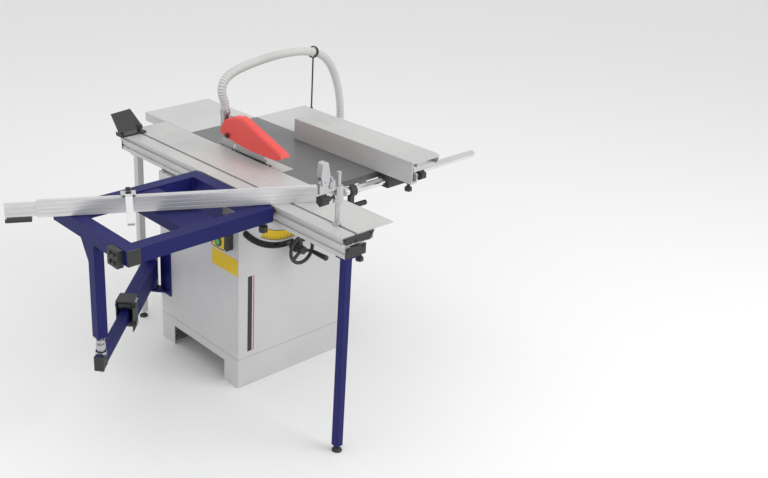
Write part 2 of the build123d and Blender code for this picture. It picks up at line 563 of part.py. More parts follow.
TEETH = 40
TOOTH_STEPS = ((-0.42, 2.4), (0.0, 0.0), (0.05, 6.5), (0.25, 9.0), (0.45, 6.0))
with BuildPart() as saw_blade:
    with BuildSketch(wall_x(BLADE_LEFT)) as disc:
        with Locations((BLADE_Y, ARBOR_Z)):
            Polygon(*[((BLADE_RADIUS - drop) * cos(2 * pi * (tooth + part) / TEETH),
                       (BLADE_RADIUS - drop) * sin(2 * pi * (tooth + part) / TEETH))
                      for tooth in range(TEETH) for part, drop in TOOTH_STEPS], align=None)
            Circle(ARBOR_BORE, mode=Mode.SUBTRACT)
            with PolarLocations(BLADE_RADIUS - 16, 4):
                SlotOverall(22, 1.6, mode=Mode.SUBTRACT)
    extrude(disc.sketch, amount=BLADE_KERF)
save(saw_blade, "saw_blade")

with BuildPart() as motor:
    bar((100, BLADE_Y, MOTOR_Z), (232, BLADE_Y, MOTOR_Z), MOTOR_RADIUS)
    fillet(motor.faces().filter_by(Axis.X).sort_by(Axis.X)[-1].edges(), 10)
    with BuildSketch(wall_x(108)) as fins:
        with Locations((BLADE_Y, MOTOR_Z)):
            with PolarLocations(MOTOR_RADIUS + 1, 24):
                Rectangle(8, 2.5)
    extrude(fins.sketch, amount=108)
    bar((99, BLADE_Y, MOTOR_Z), (130, BLADE_Y, MOTOR_Z), 12 + RUNNING, mode=Mode.SUBTRACT)
    block((130, BLADE_Y + MOTOR_RADIUS - 4, MOTOR_Z - 30), (200, BLADE_Y + MOTOR_RADIUS + 26, MOTOR_Z + 30))
save(motor, "motor")

with BuildPart() as motor_pulley:
    bar((BELT_X[0], BLADE_Y, MOTOR_Z), (BELT_X[1], BLADE_Y, MOTOR_Z), MOTOR_PULLEY)
    bar((BELT_X[1], BLADE_Y, MOTOR_Z), (129, BLADE_Y, MOTOR_Z), 12)
save(motor_pulley, "motor_pulley")

BELT_GAP = 0.3
BELT_THICK = 5.0


def belt_loop(small, large):
    """Outline of a belt round the two pulleys, as seen along the arbor."""
    span = ARBOR_Z - MOTOR_Z
    lean = degrees(asin((large - small) / span))
    with BuildSketch(mode=Mode.PRIVATE) as loop:
        with Locations((BLADE_Y, ARBOR_Z)):
            Circle(small)
        with Locations((BLADE_Y, MOTOR_Z)):
            Circle(large)
        sides = [(BLADE_Y + radius * cos(radians(angle)), z + radius * sin(radians(angle)))
                 for radius, z, angle in ((small, ARBOR_Z, lean), (large, MOTOR_Z, lean),
                                          (large, MOTOR_Z, 180 - lean), (small, ARBOR_Z, 180 - lean))]
        Polygon(*sides, align=None)
    return loop.sketch


with BuildPart() as drive_belt:
    with BuildSketch(wall_x(BELT_X[0] + 2)) as belt_side:
        add(belt_loop(ARBOR_PULLEY + BELT_GAP + BELT_THICK, MOTOR_PULLEY + BELT_GAP + BELT_THICK))
        add(belt_loop(ARBOR_PULLEY + BELT_GAP, MOTOR_PULLEY + BELT_GAP), mode=Mode.SUBTRACT)
    extrude(belt_side.sketch, amount=BELT_X[1] - BELT_X[0] - 4)
save(drive_belt, "drive_belt")

KNIFE_THICK = 2.4
KNIFE_INNER = BLADE_RADIUS + 5.0
BOLT_Y = 94.0
BOLT_Z = 913.0
RAISE_DOWN = 65.0
RAISE_UP = 10.0
BOLT_RADIUS = 4.0
KNIFE_TOP = BOLT_Z + RAISE_DOWN + BOLT_RADIUS + 8.0
KNIFE_LEFT = BLADE_X - KNIFE_THICK / 2
with BuildPart() as riving_knife:
    with BuildSketch(wall_x(KNIFE_LEFT)) as knife_side:
        Polygon((80, 736), (152, 736), (175, TABLE_TOP), (166, 876), (112, 912), (BOLT_Y + 14, 930),
                (BOLT_Y + 14, KNIFE_TOP), (BOLT_Y - 14, KNIFE_TOP), (BOLT_Y - 14, 860), align=None)
        with Locations((BLADE_Y, ARBOR_Z)):
            Circle(KNIFE_INNER, mode=Mode.SUBTRACT)
        with Locations((BOLT_Y, BOLT_Z + (RAISE_DOWN - RAISE_UP) / 2)):
            SlotOverall(RAISE_DOWN + RAISE_UP + 2 * BOLT_RADIUS + 2, 2 * BOLT_RADIUS + 0.8, rotation=90,
                        mode=Mode.SUBTRACT)
    extrude(knife_side.sketch, amount=KNIFE_THICK)
save(riving_knife, "riving_knife")

# ---------------------------------------------------------------- blade guard
GUARD_WIDTH = 44.0
GUARD_WALL = 2.5
GUARD_LEFT = BLADE_X - GUARD_WIDTH / 2
GUARD_RIGHT = BLADE_X + GUARD_WIDTH / 2
SPIGOT_Y = 141.0
SPIGOT_TOP = 1008.0
GUARD_SIDE = ((137, 909), (108, 901), (78, 899), (21, 893), (-43, 887), (-114, 889), (-160, 889),
              (-209, 892), (-235, 906), (-227, 924), (-10, 997), (22, 1004), (58, 999), (87, 989),
              (120, 969), (141, 934), (145, 914))
ROOF_END = BOLT_Y + 2.0
BEVEL = 7.0
with BuildPart() as blade_guard:
    prism(GUARD_SIDE, wall_x(GUARD_LEFT), GUARD_WIDTH)
    chamfer(blade_guard.faces().filter_by(Axis.X).edges().filter_by(
        lambda edge: edge.center().Z > 920 and edge.center().Y < ROOF_END - 6), BEVEL)
    with BuildSketch(wall_x(GUARD_LEFT + GUARD_WALL)) as hollow:
        Polygon(*GUARD_SIDE, align=None)
        offset(hollow.sketch, amount=-GUARD_WALL * 1.6, kind=Kind.INTERSECTION, mode=Mode.REPLACE)
        Polygon((-212, 896), (-212, 880), (BOLT_Y + 60, 880), (BOLT_Y + 60, 930), (-190, 920), align=None)
        Polygon((ROOF_END, 880), (BOLT_Y + 60, 880), (BOLT_Y + 60, 1010), (ROOF_END, 1010), align=None)
    extrude(hollow.sketch, amount=GUARD_WIDTH - 2 * GUARD_WALL, mode=Mode.SUBTRACT)
    block((BLADE_X - 2.2, BOLT_Y - 52, 895), (BLADE_X + 2.2, ROOF_END + 1, 1010), mode=Mode.SUBTRACT)
    bar((GUARD_LEFT - 1, BOLT_Y, BOLT_Z), (GUARD_RIGHT + 1, BOLT_Y, BOLT_Z), BOLT_RADIUS + RUNNING,
        mode=Mode.SUBTRACT)
save(blade_guard, "blade_guard")

FORK_IN = KNIFE_THICK / 2 + CLEAR
with BuildPart() as guard_hanger:
    for side in (-1, 1):
        inner, outer = BLADE_X + side * FORK_IN, BLADE_X + side * (FORK_IN + 3.5)
        collar = BLADE_X + side * (GUARD_WIDTH / 2 - GUARD_WALL - CLEAR)
        prism([(BOLT_Y - 9, BOLT_Z - 9), (BOLT_Y + 40, BOLT_Z + 8), (BOLT_Y + 40, BOLT_Z + 30),
               (BOLT_Y - 9, BOLT_Z + 9)], wall_x(min(inner, outer)), 3.5)
        bar((outer, BOLT_Y, BOLT_Z), (collar, BOLT_Y, BOLT_Z), 7)
    bar((GUARD_LEFT - CLEAR, BOLT_Y, BOLT_Z), (GUARD_RIGHT + CLEAR, BOLT_Y, BOLT_Z), BOLT_RADIUS)
    bar((GUARD_LEFT - 7, BOLT_Y, BOLT_Z), (GUARD_LEFT - CLEAR, BOLT_Y, BOLT_Z), 8.5)
    hexagon((GUARD_RIGHT + CLEAR, BOLT_Y, BOLT_Z), (GUARD_RIGHT + 7, BOLT_Y, BOLT_Z), 13)
    bar((BLADE_X, SPIGOT_Y, BOLT_Z + 8), (BLADE_X, SPIGOT_Y, SPIGOT_TOP), HOSE_RADIUS - 0.5)
    bar((BLADE_X, SPIGOT_Y, SPIGOT_TOP - 20), (BLADE_X, SPIGOT_Y, SPIGOT_TOP - 4), HOSE_RADIUS + 2)
    block((BLADE_X - 6, SPIGOT_Y - 26, SPIGOT_TOP - 17), (BLADE_X + 6, SPIGOT_Y, SPIGOT_TOP - 7))
    bar((BLADE_X, SPIGOT_Y, BOLT_Z + 7), (BLADE_X, SPIGOT_Y, SPIGOT_TOP + 1), HOSE_RADIUS - 3.5,
        mode=Mode.SUBTRACT)
save(guard_hanger, "guard_hanger")

HOSE_POINTS = ((-20, 141, 1008), (-20, 141, 1034), (-37, 140, 1066), (-36, 142, 1104),
               (-10, 149, 1132), (44, 164, 1147), (130, 190, 1152), (260, 228, 1153),
               (400, 268, 1145), (546, 311, 1123), (680, 350, 1082), (770, 376, 1005),
               (826, 392, 905), (858, 401, 800), (864, 404, 690), (826, 416, 600),
               (740, 444, 530), (630, 470, 475), (515, 470, 430), (415, 440, 385),
               (335, 385, 345), (275, 325, 312), (225, BRANCH_Y, PORT_Z), (BRANCH_END, BRANCH_Y, PORT_Z))


def corner_radii(points):
    """The bend at each inner point: 0.45 of the shorter run over the tangent of half the turn."""
    radii = []
    for before, at, after in zip(points, points[1:], points[2:]):
        arriving = Vector(*at) - Vector(*before)
        leaving = Vector(*after) - Vector(*at)
        half_turn = radians(arriving.get_angle(leaving)) / 2
        radii.append(0.45 * min(arriving.length, leaving.length) / tan(half_turn))
    return radii


hose_radii = corner_radii(HOSE_POINTS)
with BuildPart() as dust_hose:
    with BuildLine() as hose_path:
        FilletPolyline(*HOSE_POINTS, radius=hose_radii)
    with BuildSketch(Plane(origin=HOSE_POINTS[0], z_dir=(0, 0, 1))) as hose_section:
        Circle(HOSE_RADIUS)
    sweep(hose_section.sketch, path=hose_path.line)
save(dust_hose, "dust_hose")
hose_length = hose_path.wire().length
hose_share = dust_hose.part.volume / (pi * HOSE_RADIUS ** 2 * hose_length)
print("hose length", round(hose_length), "radii", [round(radius) for radius in hose_radii])
print("hose volume against section times length", round(hose_share, 4))

ROD_X = RIGHT_EXT_RIGHT + 8.0
ROD_RADIUS = 3.5
RING_WALL = 6.0
RING_CLEAR = 2.0
LEG_START, LEG_END = Vector(*HOSE_POINTS[9]), Vector(*HOSE_POINTS[10])
RING_AXIS = (LEG_END - LEG_START).normalized()
RING_CENTRE = LEG_START + RING_AXIS * ((ROD_X - LEG_START.X) / RING_AXIS.X)
with BuildPart() as hose_rod:
    rod_y = RING_CENTRE.Y
    bar((ROD_X, rod_y, TABLE_TOP - EXT_DROP + 6),
        (ROD_X, rod_y, RING_CENTRE.Z - HOSE_RADIUS - RING_CLEAR - RING_WALL / 2 - 1), ROD_RADIUS)
    block((RIGHT_EXT_RIGHT, rod_y - 12, TABLE_TOP - 32), (ROD_X, rod_y + 12, TABLE_TOP - 8))
    for z in (TABLE_TOP - 8, TABLE_TOP - 40):
        hexagon((ROD_X, rod_y, z), (ROD_X, rod_y, z + 7), 13)
    with BuildSketch(Plane(origin=RING_CENTRE, x_dir=(0.27, -0.96, 0), z_dir=RING_AXIS)) as ring_face:
        Circle(HOSE_RADIUS + RING_CLEAR + RING_WALL)
        Circle(HOSE_RADIUS + RING_CLEAR, mode=Mode.SUBTRACT)
    extrude(ring_face.sketch, amount=3, both=True)
save(hose_rod, "hose_rod")

# ---------------------------------------------------------------- handwheel and tilt lock
RIM_RADIUS = 7.0
CRANK_OFFSET = (50.0, -19.0)
CRANK_LENGTH = 78.0
with BuildPart() as handwheel:
    with Locations(Plane(origin=(BLADE_X, HANDWHEEL_Y, SHAFT_Z), z_dir=(0, -1, 0))):
        Torus(HANDWHEEL_RADIUS - RIM_RADIUS, RIM_RADIUS)
    with Locations(Plane(origin=(BLADE_X, HANDWHEEL_Y, SHAFT_Z), x_dir=(1, 0, -0.38), z_dir=(0, -1, 0))):
        with PolarLocations((HANDWHEEL_RADIUS - RIM_RADIUS) / 2, 3):
            Box(HANDWHEEL_RADIUS - RIM_RADIUS, 12, 7)
    bar((BLADE_X, HANDWHEEL_Y + 14, SHAFT_Z), (BLADE_X, HANDWHEEL_Y - 14, SHAFT_Z), 16)
    fillet(handwheel.faces().filter_by(Axis.Y).sort_by(Axis.Y)[0].edges(), 2)
    bar((BLADE_X, SCREW_Y - 19, SHAFT_Z), (BLADE_X, HANDWHEEL_Y, SHAFT_Z), SHAFT_RADIUS)
    cone((BLADE_X, SCREW_Y - 16, SHAFT_Z), (BLADE_X, SCREW_Y - 9, SHAFT_Z), 16, 12)
    bar((BLADE_X, SCREW_Y - 19.5, SHAFT_Z), (BLADE_X, SCREW_Y - 16, SHAFT_Z), SHAFT_RADIUS)
    crank_x, crank_z = BLADE_X + CRANK_OFFSET[0], SHAFT_Z + CRANK_OFFSET[1]
    bar((crank_x, HANDWHEEL_Y, crank_z), (crank_x, HANDWHEEL_Y - 18, crank_z), 5)
    crank_end = HANDWHEEL_Y - 8 - CRANK_LENGTH
    cone((crank_x, HANDWHEEL_Y - 14, crank_z), (crank_x, crank_end, crank_z), 8.5, 11)
    cone((crank_x, crank_end, crank_z), (crank_x, crank_end - 4, crank_z), 11, 7)
save(handwheel, "handwheel")

LOCK_Y = -308.0
LEVER_TIP = (94.0, 596.0)
ELBOW = (0.0, 586.0)
with BuildPart() as tilt_lock:
    bar((BLADE_X, LOCK_Y + 16, SHAFT_Z), (BLADE_X, LOCK_Y - 8, SHAFT_Z), 21)
    bar((BLADE_X, LOCK_Y + 2, SHAFT_Z), (ELBOW[0], LOCK_Y, ELBOW[1]), 7)
    with Locations((ELBOW[0], LOCK_Y, ELBOW[1])):
        Sphere(9.5)
    cone((ELBOW[0], LOCK_Y, ELBOW[1]), (LEVER_TIP[0], LOCK_Y, LEVER_TIP[1]), 8, 11)
    bar((BLADE_X, LOCK_Y + 17, SHAFT_Z), (BLADE_X, LOCK_Y - 9, SHAFT_Z), SLEEVE_RADIUS + 1 + RUNNING,
        mode=Mode.SUBTRACT)
save(tilt_lock, "tilt_lock")

# ---------------------------------------------------------------- sliding carriage
BODY_LEFT = CARRIAGE_LEFT + 4.0
BODY_RIGHT = -121.0
GROOVE_Z = (822.0, 836.0)
GROOVE_DEPTH = 8.0
PROFILE_WALL = 4.0
T_SLOT_FLOOR = 832.0
T_SLOT_LIP = 841.0
with BuildPart() as carriage:
    block((CARRIAGE_LEFT, CARRIAGE_FRONT, PLATE_UNDER), (CARRIAGE_RIGHT, CARRIAGE_REAR, TABLE_TOP))
    block((BODY_LEFT, CARRIAGE_FRONT, BODY_UNDER), (BODY_RIGHT, CARRIAGE_REAR, PLATE_UNDER))
    for x0, x1, z1 in ((BODY_LEFT + GROOVE_DEPTH + PROFILE_WALL, T_SLOT_X - T_SLOT_WIDTH / 2 - 4, T_SLOT_LIP),
                       (T_SLOT_X - T_SLOT_WIDTH / 2, T_SLOT_X + T_SLOT_WIDTH / 2, T_SLOT_FLOOR - 4),
                       (T_SLOT_X + T_SLOT_WIDTH / 2 + 4, BODY_RIGHT - PROFILE_WALL, T_SLOT_LIP)):
        block((x0, CARRIAGE_FRONT - 1, BODY_UNDER + PROFILE_WALL), (x1, CARRIAGE_REAR + 1, z1),
              mode=Mode.SUBTRACT)
    block((T_SLOT_X - T_SLOT_WIDTH / 2, CARRIAGE_FRONT - 1, T_SLOT_FLOOR),
          (T_SLOT_X + T_SLOT_WIDTH / 2, CARRIAGE_REAR + 1, T_SLOT_LIP), mode=Mode.SUBTRACT)
    block((T_SLOT_X - T_SLOT_MOUTH / 2, CARRIAGE_FRONT - 1, T_SLOT_LIP - 1),
          (T_SLOT_X + T_SLOT_MOUTH / 2, CARRIAGE_REAR + 1, TABLE_TOP + 1), mode=Mode.SUBTRACT)
    block((BODY_LEFT - 1, CARRIAGE_FRONT - 1, GROOVE_Z[0]),
          (BODY_LEFT + GROOVE_DEPTH, CARRIAGE_REAR + 1, GROOVE_Z[1]), mode=Mode.SUBTRACT)
save(carriage, "carriage")

GUIDE_Y = (-470.0, -330.0, -190.0, -50.0)
GUIDE_LENGTH = 60.0
END_PLATE = 5.0
with BuildPart() as carriage_fittings:
    for y in (CARRIAGE_FRONT, CARRIAGE_REAR + END_PLATE):
        prism([(BODY_LEFT, PLATE_UNDER - 0.4), (BODY_RIGHT, PLATE_UNDER - 0.4), (BODY_RIGHT - 19, 815),
               (BODY_LEFT + 5, 826)], wall_y(y), END_PLATE)
    for x, z in ((BODY_LEFT + 10, 838), (BODY_RIGHT - 16, 838), (T_SLOT_X, 824)):
        bar((x, CARRIAGE_FRONT - END_PLATE, z), (x, CARRIAGE_FRONT - END_PLATE - 3, z), 4)
        bar((x, CARRIAGE_REAR + END_PLATE, z), (x, CARRIAGE_REAR + END_PLATE + 3, z), 4)
    for y in GUIDE_Y:
        block((BEAM_LEFT + 22.5, y, BEAM_UNDER + 17), (BEAM_RIGHT - 22.5, y + GUIDE_LENGTH, BODY_UNDER))
save(carriage_fittings, "carriage_fittings")


# ---------------------------------------------------------------- outrigger frame
def tube(low, high, run_axis):
    """Square tube along X or Y, open at both ends."""
    block(low, high)
    wall = [FRAME_WALL if axis != run_axis else -1 for axis in "xyz"]
    block([a + w for a, w in zip(low, wall)], [b - w for b, w in zip(high, wall)], mode=Mode.SUBTRACT)


LEFT_TUBE_REAR = 5.0
CHANNEL_X = (-625.0, -485.0)
HANG_PLATE_Y = (-242.0, -8.0)
FRONT_TUBE_REAR = FRAME_FRONT + FRAME_TUBE_WIDTH
REAR_TUBE_FRONT = FRAME_REAR - FRAME_TUBE_WIDTH
INNER_LEFT = FRAME_LEFT + FRAME_TUBE_WIDTH
INNER_RIGHT = FRAME_RIGHT - FRAME_TUBE_WIDTH
with BuildPart() as outrigger_frame:
    tube((FRAME_LEFT, FRAME_FRONT, FRAME_UNDER), (INNER_LEFT, LEFT_TUBE_REAR, FRAME_TOP), "y")
    tube((INNER_LEFT, FRAME_FRONT, FRAME_UNDER), (FRAME_RIGHT, FRONT_TUBE_REAR, FRAME_TOP), "x")
    tube((INNER_LEFT, REAR_TUBE_FRONT, FRAME_UNDER), (FRAME_RIGHT, FRAME_REAR, FRAME_TOP), "x")
    tube((INNER_RIGHT, FRONT_TUBE_REAR, FRAME_UNDER), (FRAME_RIGHT, REAR_TUBE_FRONT, FRAME_TOP), "y")
    block((INNER_RIGHT - 3, HANG_PLATE_Y[0], FRAME_UNDER - 100), (INNER_RIGHT, HANG_PLATE_Y[1], FRAME_UNDER))
    block((INNER_RIGHT - 3, HANG_PLATE_Y[0], FRAME_UNDER - 3),
          (INNER_RIGHT + 30, HANG_PLATE_Y[1], FRAME_UNDER))
    block((CHANNEL_X[0], FRONT_TUBE_REAR, FRAME_TOP - 40), (CHANNEL_X[1], REAR_TUBE_FRONT, FRAME_TOP - 4))
    block((CHANNEL_X[0] + 3, FRONT_TUBE_REAR - 1, FRAME_TOP - 41),
          (CHANNEL_X[1] - 3, REAR_TUBE_FRONT + 1, FRAME_TOP - 7), mode=Mode.SUBTRACT)
save(outrigger_frame, "outrigger_frame")

HOOK_Y = ((-460.0, -430.0), (-52.0, -22.0))
with BuildPart() as outrigger_fittings:
    block((FRAME_LEFT - 0.5, FRAME_FRONT - 6, FRAME_UNDER - 0.5),
          (INNER_LEFT + 0.5, FRAME_FRONT, FRAME_TOP + 0.5))
    fillet(outrigger_fittings.edges().filter_by(Axis.Y), 3)
    block((FRAME_LEFT - 0.5, LEFT_TUBE_REAR, FRAME_UNDER - 0.5),
          (INNER_LEFT + 0.5, LEFT_TUBE_REAR + 6, FRAME_TOP + 0.5))
    block((FRAME_LEFT - 25, -452, 785), (FRAME_LEFT, -392, 846))
    for z in (800, 830):
        hexagon((FRAME_LEFT - 25, -434, z), (FRAME_LEFT - 31, -434, z), 13)
        hexagon((FRAME_LEFT - 25, -410, z), (FRAME_LEFT - 31, -410, z), 13)
    for y0, y1 in HOOK_Y:
        block((FRAME_RIGHT, y0, 812), (CARRIAGE_LEFT - 1.5, y1, 842))
        block((FRAME_RIGHT + 1, y0, GROOVE_Z[0] + 1), (BODY_LEFT + GROOVE_DEPTH - 2, y1, GROOVE_Z[1] - 1))
    star_knob((FRAME_RIGHT - 25, -447, FRAME_UNDER - 6), (FRAME_RIGHT - 25, -447, FRAME_UNDER - 40), 17)
    bar((FRAME_RIGHT - 25, -447, FRAME_UNDER), (FRAME_RIGHT - 25, -447, FRAME_UNDER - 10), 5)
save(outrigger_fittings, "outrigger_fittings")

POST_LEFT = FRAME_LEFT
POST_RIGHT = -838.0
POST_Y = (-260.0, -222.0)
POST_BOTTOM = 430.0
with BuildPart() as outrigger_post:
    tube((POST_LEFT, POST_Y[0], POST_BOTTOM + 5), (POST_RIGHT, POST_Y[1], FRAME_UNDER), "z")
    block((POST_LEFT, POST_Y[0], POST_BOTTOM), (POST_RIGHT, POST_Y[1], POST_BOTTOM + 5))
    prism([(POST_Y[1], 650), (-137, FRAME_UNDER), (POST_Y[1], FRAME_UNDER)], wall_x(POST_LEFT + 17), 6)
    prism([(POST_Y[0], 762), (-275, FRAME_UNDER), (POST_Y[0], FRAME_UNDER)], wall_x(POST_LEFT + 17), 6)
save(outrigger_post, "outrigger_post")

NUT_BOTTOM = 376.0
with BuildPart() as post_pin:
    bar((*POST_PIN, POST_BOTTOM), (*POST_PIN, 402), 9)
    hexagon((*POST_PIN, 402), (*POST_PIN, 385), 34)
    bar((*POST_PIN, 385), (*POST_PIN, NUT_BOTTOM), 15)
    bar((*POST_PIN, 420), (*POST_PIN, 412), 16)
save(post_pin, "post_pin")


# ---------------------------------------------------------------- swing arm
def slab(origin, direction, along, across, height, mode=Mode.ADD):
    """Box laid along a horizontal direction from an origin."""
    foot = Plane(origin=(origin[0], origin[1], height[0]), x_dir=direction, z_dir=(0, 0, 1))
    with BuildSketch(foot) as face:
        with Locations((sum(along) / 2, sum(across) / 2)):
            Rectangle(along[1] - along[0], across[1] - across[0])
    extrude(face.sketch, amount=height[1] - height[0], mode=mode)


LUG_Z = ((236.0, 244.0), (425.0, 433.0))
LUG_OUTLINE = ((-264, 190), (-264, 262), (-283, 298), (-303, 304), (-322, 298), (-329, 278), (-320, 252))
PIN_RADIUS = 8.0
with BuildPart() as arm_pivot:
    block((-HALF_W - 6, 190, 222), (-HALF_W, 262, 447))
    for z0, z1 in LUG_Z:
        prism(LUG_OUTLINE, floor_z(z0), z1 - z0)
    bar((*ARM_PIVOT, LUG_Z[0][0] - 9), (*ARM_PIVOT, LUG_Z[1][1] + 9), PIN_RADIUS)
    hexagon((*ARM_PIVOT, LUG_Z[0][0] - 9), (*ARM_PIVOT, LUG_Z[0][0]), 24)
    hexagon((*ARM_PIVOT, LUG_Z[1][1]), (*ARM_PIVOT, LUG_Z[1][1] + 10), 24)
save(arm_pivot, "arm_pivot")

ARM_BOTTOM = ARM_MIDDLE_Z - ARM_OUTER[1] / 2
ARM_TOP = ARM_MIDDLE_Z + ARM_OUTER[1] / 2
ARM_WALL = 3.0
OUTER_END = 395.0
PIVOT_TUBE = 45.0
with BuildPart() as swing_arm:
    slab(ARM_PIVOT, ARM_DIRECTION, (-PIVOT_TUBE / 2, PIVOT_TUBE / 2), (-PIVOT_TUBE / 2, PIVOT_TUBE / 2),
         (LUG_Z[0][1] + 1, LUG_Z[1][0] - 1))
    slab(ARM_PIVOT, ARM_DIRECTION, (PIVOT_TUBE / 2 - 1, OUTER_END), (-ARM_OUTER[0] / 2, ARM_OUTER[0] / 2),
         (ARM_BOTTOM, ARM_TOP))
    slab(ARM_PIVOT, ARM_DIRECTION, (PIVOT_TUBE / 2, OUTER_END + 1),
         (-ARM_OUTER[0] / 2 + ARM_WALL, ARM_OUTER[0] / 2 - ARM_WALL),
         (ARM_BOTTOM + ARM_WALL, ARM_TOP - ARM_WALL), mode=Mode.SUBTRACT)
    bar((*ARM_PIVOT, LUG_Z[0][1]), (*ARM_PIVOT, LUG_Z[1][0]), PIN_RADIUS + RUNNING, mode=Mode.SUBTRACT)
save(swing_arm, "swing_arm")


def on_arm(along, across, z):
    """Point on the swing arm, measured from its pivot."""
    side = Vector(-ARM_DIRECTION.Y, ARM_DIRECTION.X)
    point = Vector(*ARM_PIVOT) + ARM_DIRECTION * along + side * across
    return point.X, point.Y, z


ROLLER_RADIUS = 14.0
ROLLER_ALONG = 420.0
INNER_TOP = ARM_MIDDLE_Z + ARM_INNER[1] / 2
INNER_BOTTOM = ARM_MIDDLE_Z - ARM_INNER[1] / 2
CHEEK = ARM_OUTER[0] / 2
with BuildPart() as arm_rollers:
    for side in (-1, 1):
        across = sorted((side * CHEEK, side * (CHEEK + 4)))
        slab(ARM_PIVOT, ARM_DIRECTION, (372, 442), across, (275, 402))
    for z in (INNER_TOP + ROLLER_RADIUS + 0.3, INNER_BOTTOM - ROLLER_RADIUS - 0.3):
        bar(on_arm(ROLLER_ALONG, -CHEEK + 4, z), on_arm(ROLLER_ALONG, CHEEK - 4, z), ROLLER_RADIUS)
        bar(on_arm(ROLLER_ALONG, -CHEEK, z), on_arm(ROLLER_ALONG, CHEEK, z), 6)
        for side in (-1, 1):
            hexagon(on_arm(ROLLER_ALONG, side * (CHEEK + 4), z),
                    on_arm(ROLLER_ALONG, side * (CHEEK + 10), z), 17)
    slab(ARM_PIVOT, ARM_DIRECTION, (372, 442), (-CHEEK, CHEEK), (396, 402))
save(arm_rollers, "arm_rollers")

INNER_ALONG = (252.0, 788.0)
with BuildPart() as arm_inner:
    slab(ARM_PIVOT, ARM_DIRECTION, INNER_ALONG,
         (-ARM_INNER[0] / 2, ARM_INNER[0] / 2), (INNER_BOTTOM, INNER_TOP))
    slab(ARM_PIVOT, ARM_DIRECTION, (INNER_ALONG[0] - 1, INNER_ALONG[1] - 60),
         (-ARM_INNER[0] / 2 + 2.5, ARM_INNER[0] / 2 - 2.5), (INNER_BOTTOM + 2.5, INNER_TOP - 2.5),
         mode=Mode.SUBTRACT)
    slab(ARM_PIVOT, ARM_DIRECTION, (INNER_ALONG[0], INNER_ALONG[0] + 30), (-26.5, 26.5),
         (ARM_BOTTOM + ARM_WALL + CLEAR, INNER_BOTTOM))
    bar((*POST_PIN, INNER_TOP), (*POST_PIN, NUT_BOTTOM - 2), 20)
    bar((*POST_PIN, INNER_BOTTOM), (*POST_PIN, INNER_BOTTOM - 24), 9)
    slab(ARM_PIVOT, ARM_DIRECTION, (INNER_ALONG[1], INNER_ALONG[1] + 6), (-17, 17),
         (INNER_BOTTOM - 4, INNER_TOP + 4))
save(arm_inner, "arm_inner")

# ---------------------------------------------------------------- crosscut fence
CROSS_MIDDLE = CROSS_THICK / 2
CROSS_TOP = CROSS_BOTTOM + CROSS_HEIGHT - 0.6
PIVOT_ALONG = (T_SLOT_X - CROSS_END[0] - CROSS_MIDDLE * CROSS_REAR.X) / CROSS_AXIS.X


def on_fence(along, across, z):
    """Point on the crosscut fence: along it from its right end, across it to the rear."""
    point = Vector(*CROSS_END) + CROSS_AXIS * along + CROSS_REAR * across
    return point.X, point.Y, z


PIVOT_X, PIVOT_Y, _ = on_fence(PIVOT_ALONG, CROSS_MIDDLE, TABLE_TOP)
CAVITY = (4.0, 20.5)
with BuildPart() as crosscut_fence:
    slab(CROSS_END, CROSS_AXIS, (-CROSS_LENGTH, 0), (0, CROSS_THICK), (CROSS_BOTTOM, CROSS_TOP))
    slab(CROSS_END, CROSS_AXIS, (-CROSS_LENGTH - 1, 1), CAVITY, (CROSS_BOTTOM + 4, CROSS_TOP - 4),
         mode=Mode.SUBTRACT)
    slab(CROSS_END, CROSS_AXIS, (-CROSS_LENGTH - 1, 1), (CROSS_THICK - 5, CROSS_THICK + 1),
         (CROSS_TOP - 22, CROSS_TOP - 12), mode=Mode.SUBTRACT)
    for z in (CROSS_BOTTOM + 12, CROSS_BOTTOM + 26, CROSS_BOTTOM + 40):
        slab(CROSS_END, CROSS_AXIS, (-CROSS_LENGTH - 1, 1), (-1, 1.2), (z, z + 3), mode=Mode.SUBTRACT)
    bar((PIVOT_X, PIVOT_Y, T_SLOT_FLOOR + 1), (PIVOT_X, PIVOT_Y, CROSS_BOTTOM + 2), T_SLOT_MOUTH / 2 - CLEAR)
    bar((PIVOT_X, PIVOT_Y, T_SLOT_FLOOR + 1), (PIVOT_X, PIVOT_Y, T_SLOT_LIP - 1), T_SLOT_WIDTH / 2 - CLEAR)
save(crosscut_fence, "crosscut_fence")

EXTENSION_INSIDE = 560.0
EXTENSION_END = -CROSS_LENGTH - CROSS_EXTENDED
FIT = 0.3
with BuildPart() as fence_extension:
    slab(CROSS_END, CROSS_AXIS, (EXTENSION_END, -CROSS_LENGTH + EXTENSION_INSIDE),
         (CAVITY[0] + FIT, CAVITY[1] - FIT), (CROSS_BOTTOM + 4 + FIT, CROSS_TOP - 4 - FIT))
    slab(CROSS_END, CROSS_AXIS, (EXTENSION_END - 1, -CROSS_LENGTH + EXTENSION_INSIDE + 1),
         (CAVITY[0] + FIT + 3, CAVITY[1] - FIT - 3), (CROSS_BOTTOM + 8, CROSS_TOP - 8), mode=Mode.SUBTRACT)
    for z in (CROSS_BOTTOM + 14, CROSS_BOTTOM + 32):
        slab(CROSS_END, CROSS_AXIS, (EXTENSION_END - 1, -CROSS_LENGTH + EXTENSION_INSIDE + 1),
             (CAVITY[0], CAVITY[0] + FIT + 1.2), (z, z + 5), mode=Mode.SUBTRACT)
    slab(CROSS_END, CROSS_AXIS, (EXTENSION_END, -CROSS_LENGTH - 102), CAVITY, (838, CROSS_BOTTOM + 5))
    slab(CROSS_END, CROSS_AXIS, (EXTENSION_END, EXTENSION_END + 90), (2, 26), (836, 848))
save(fence_extension, "fence_extension")

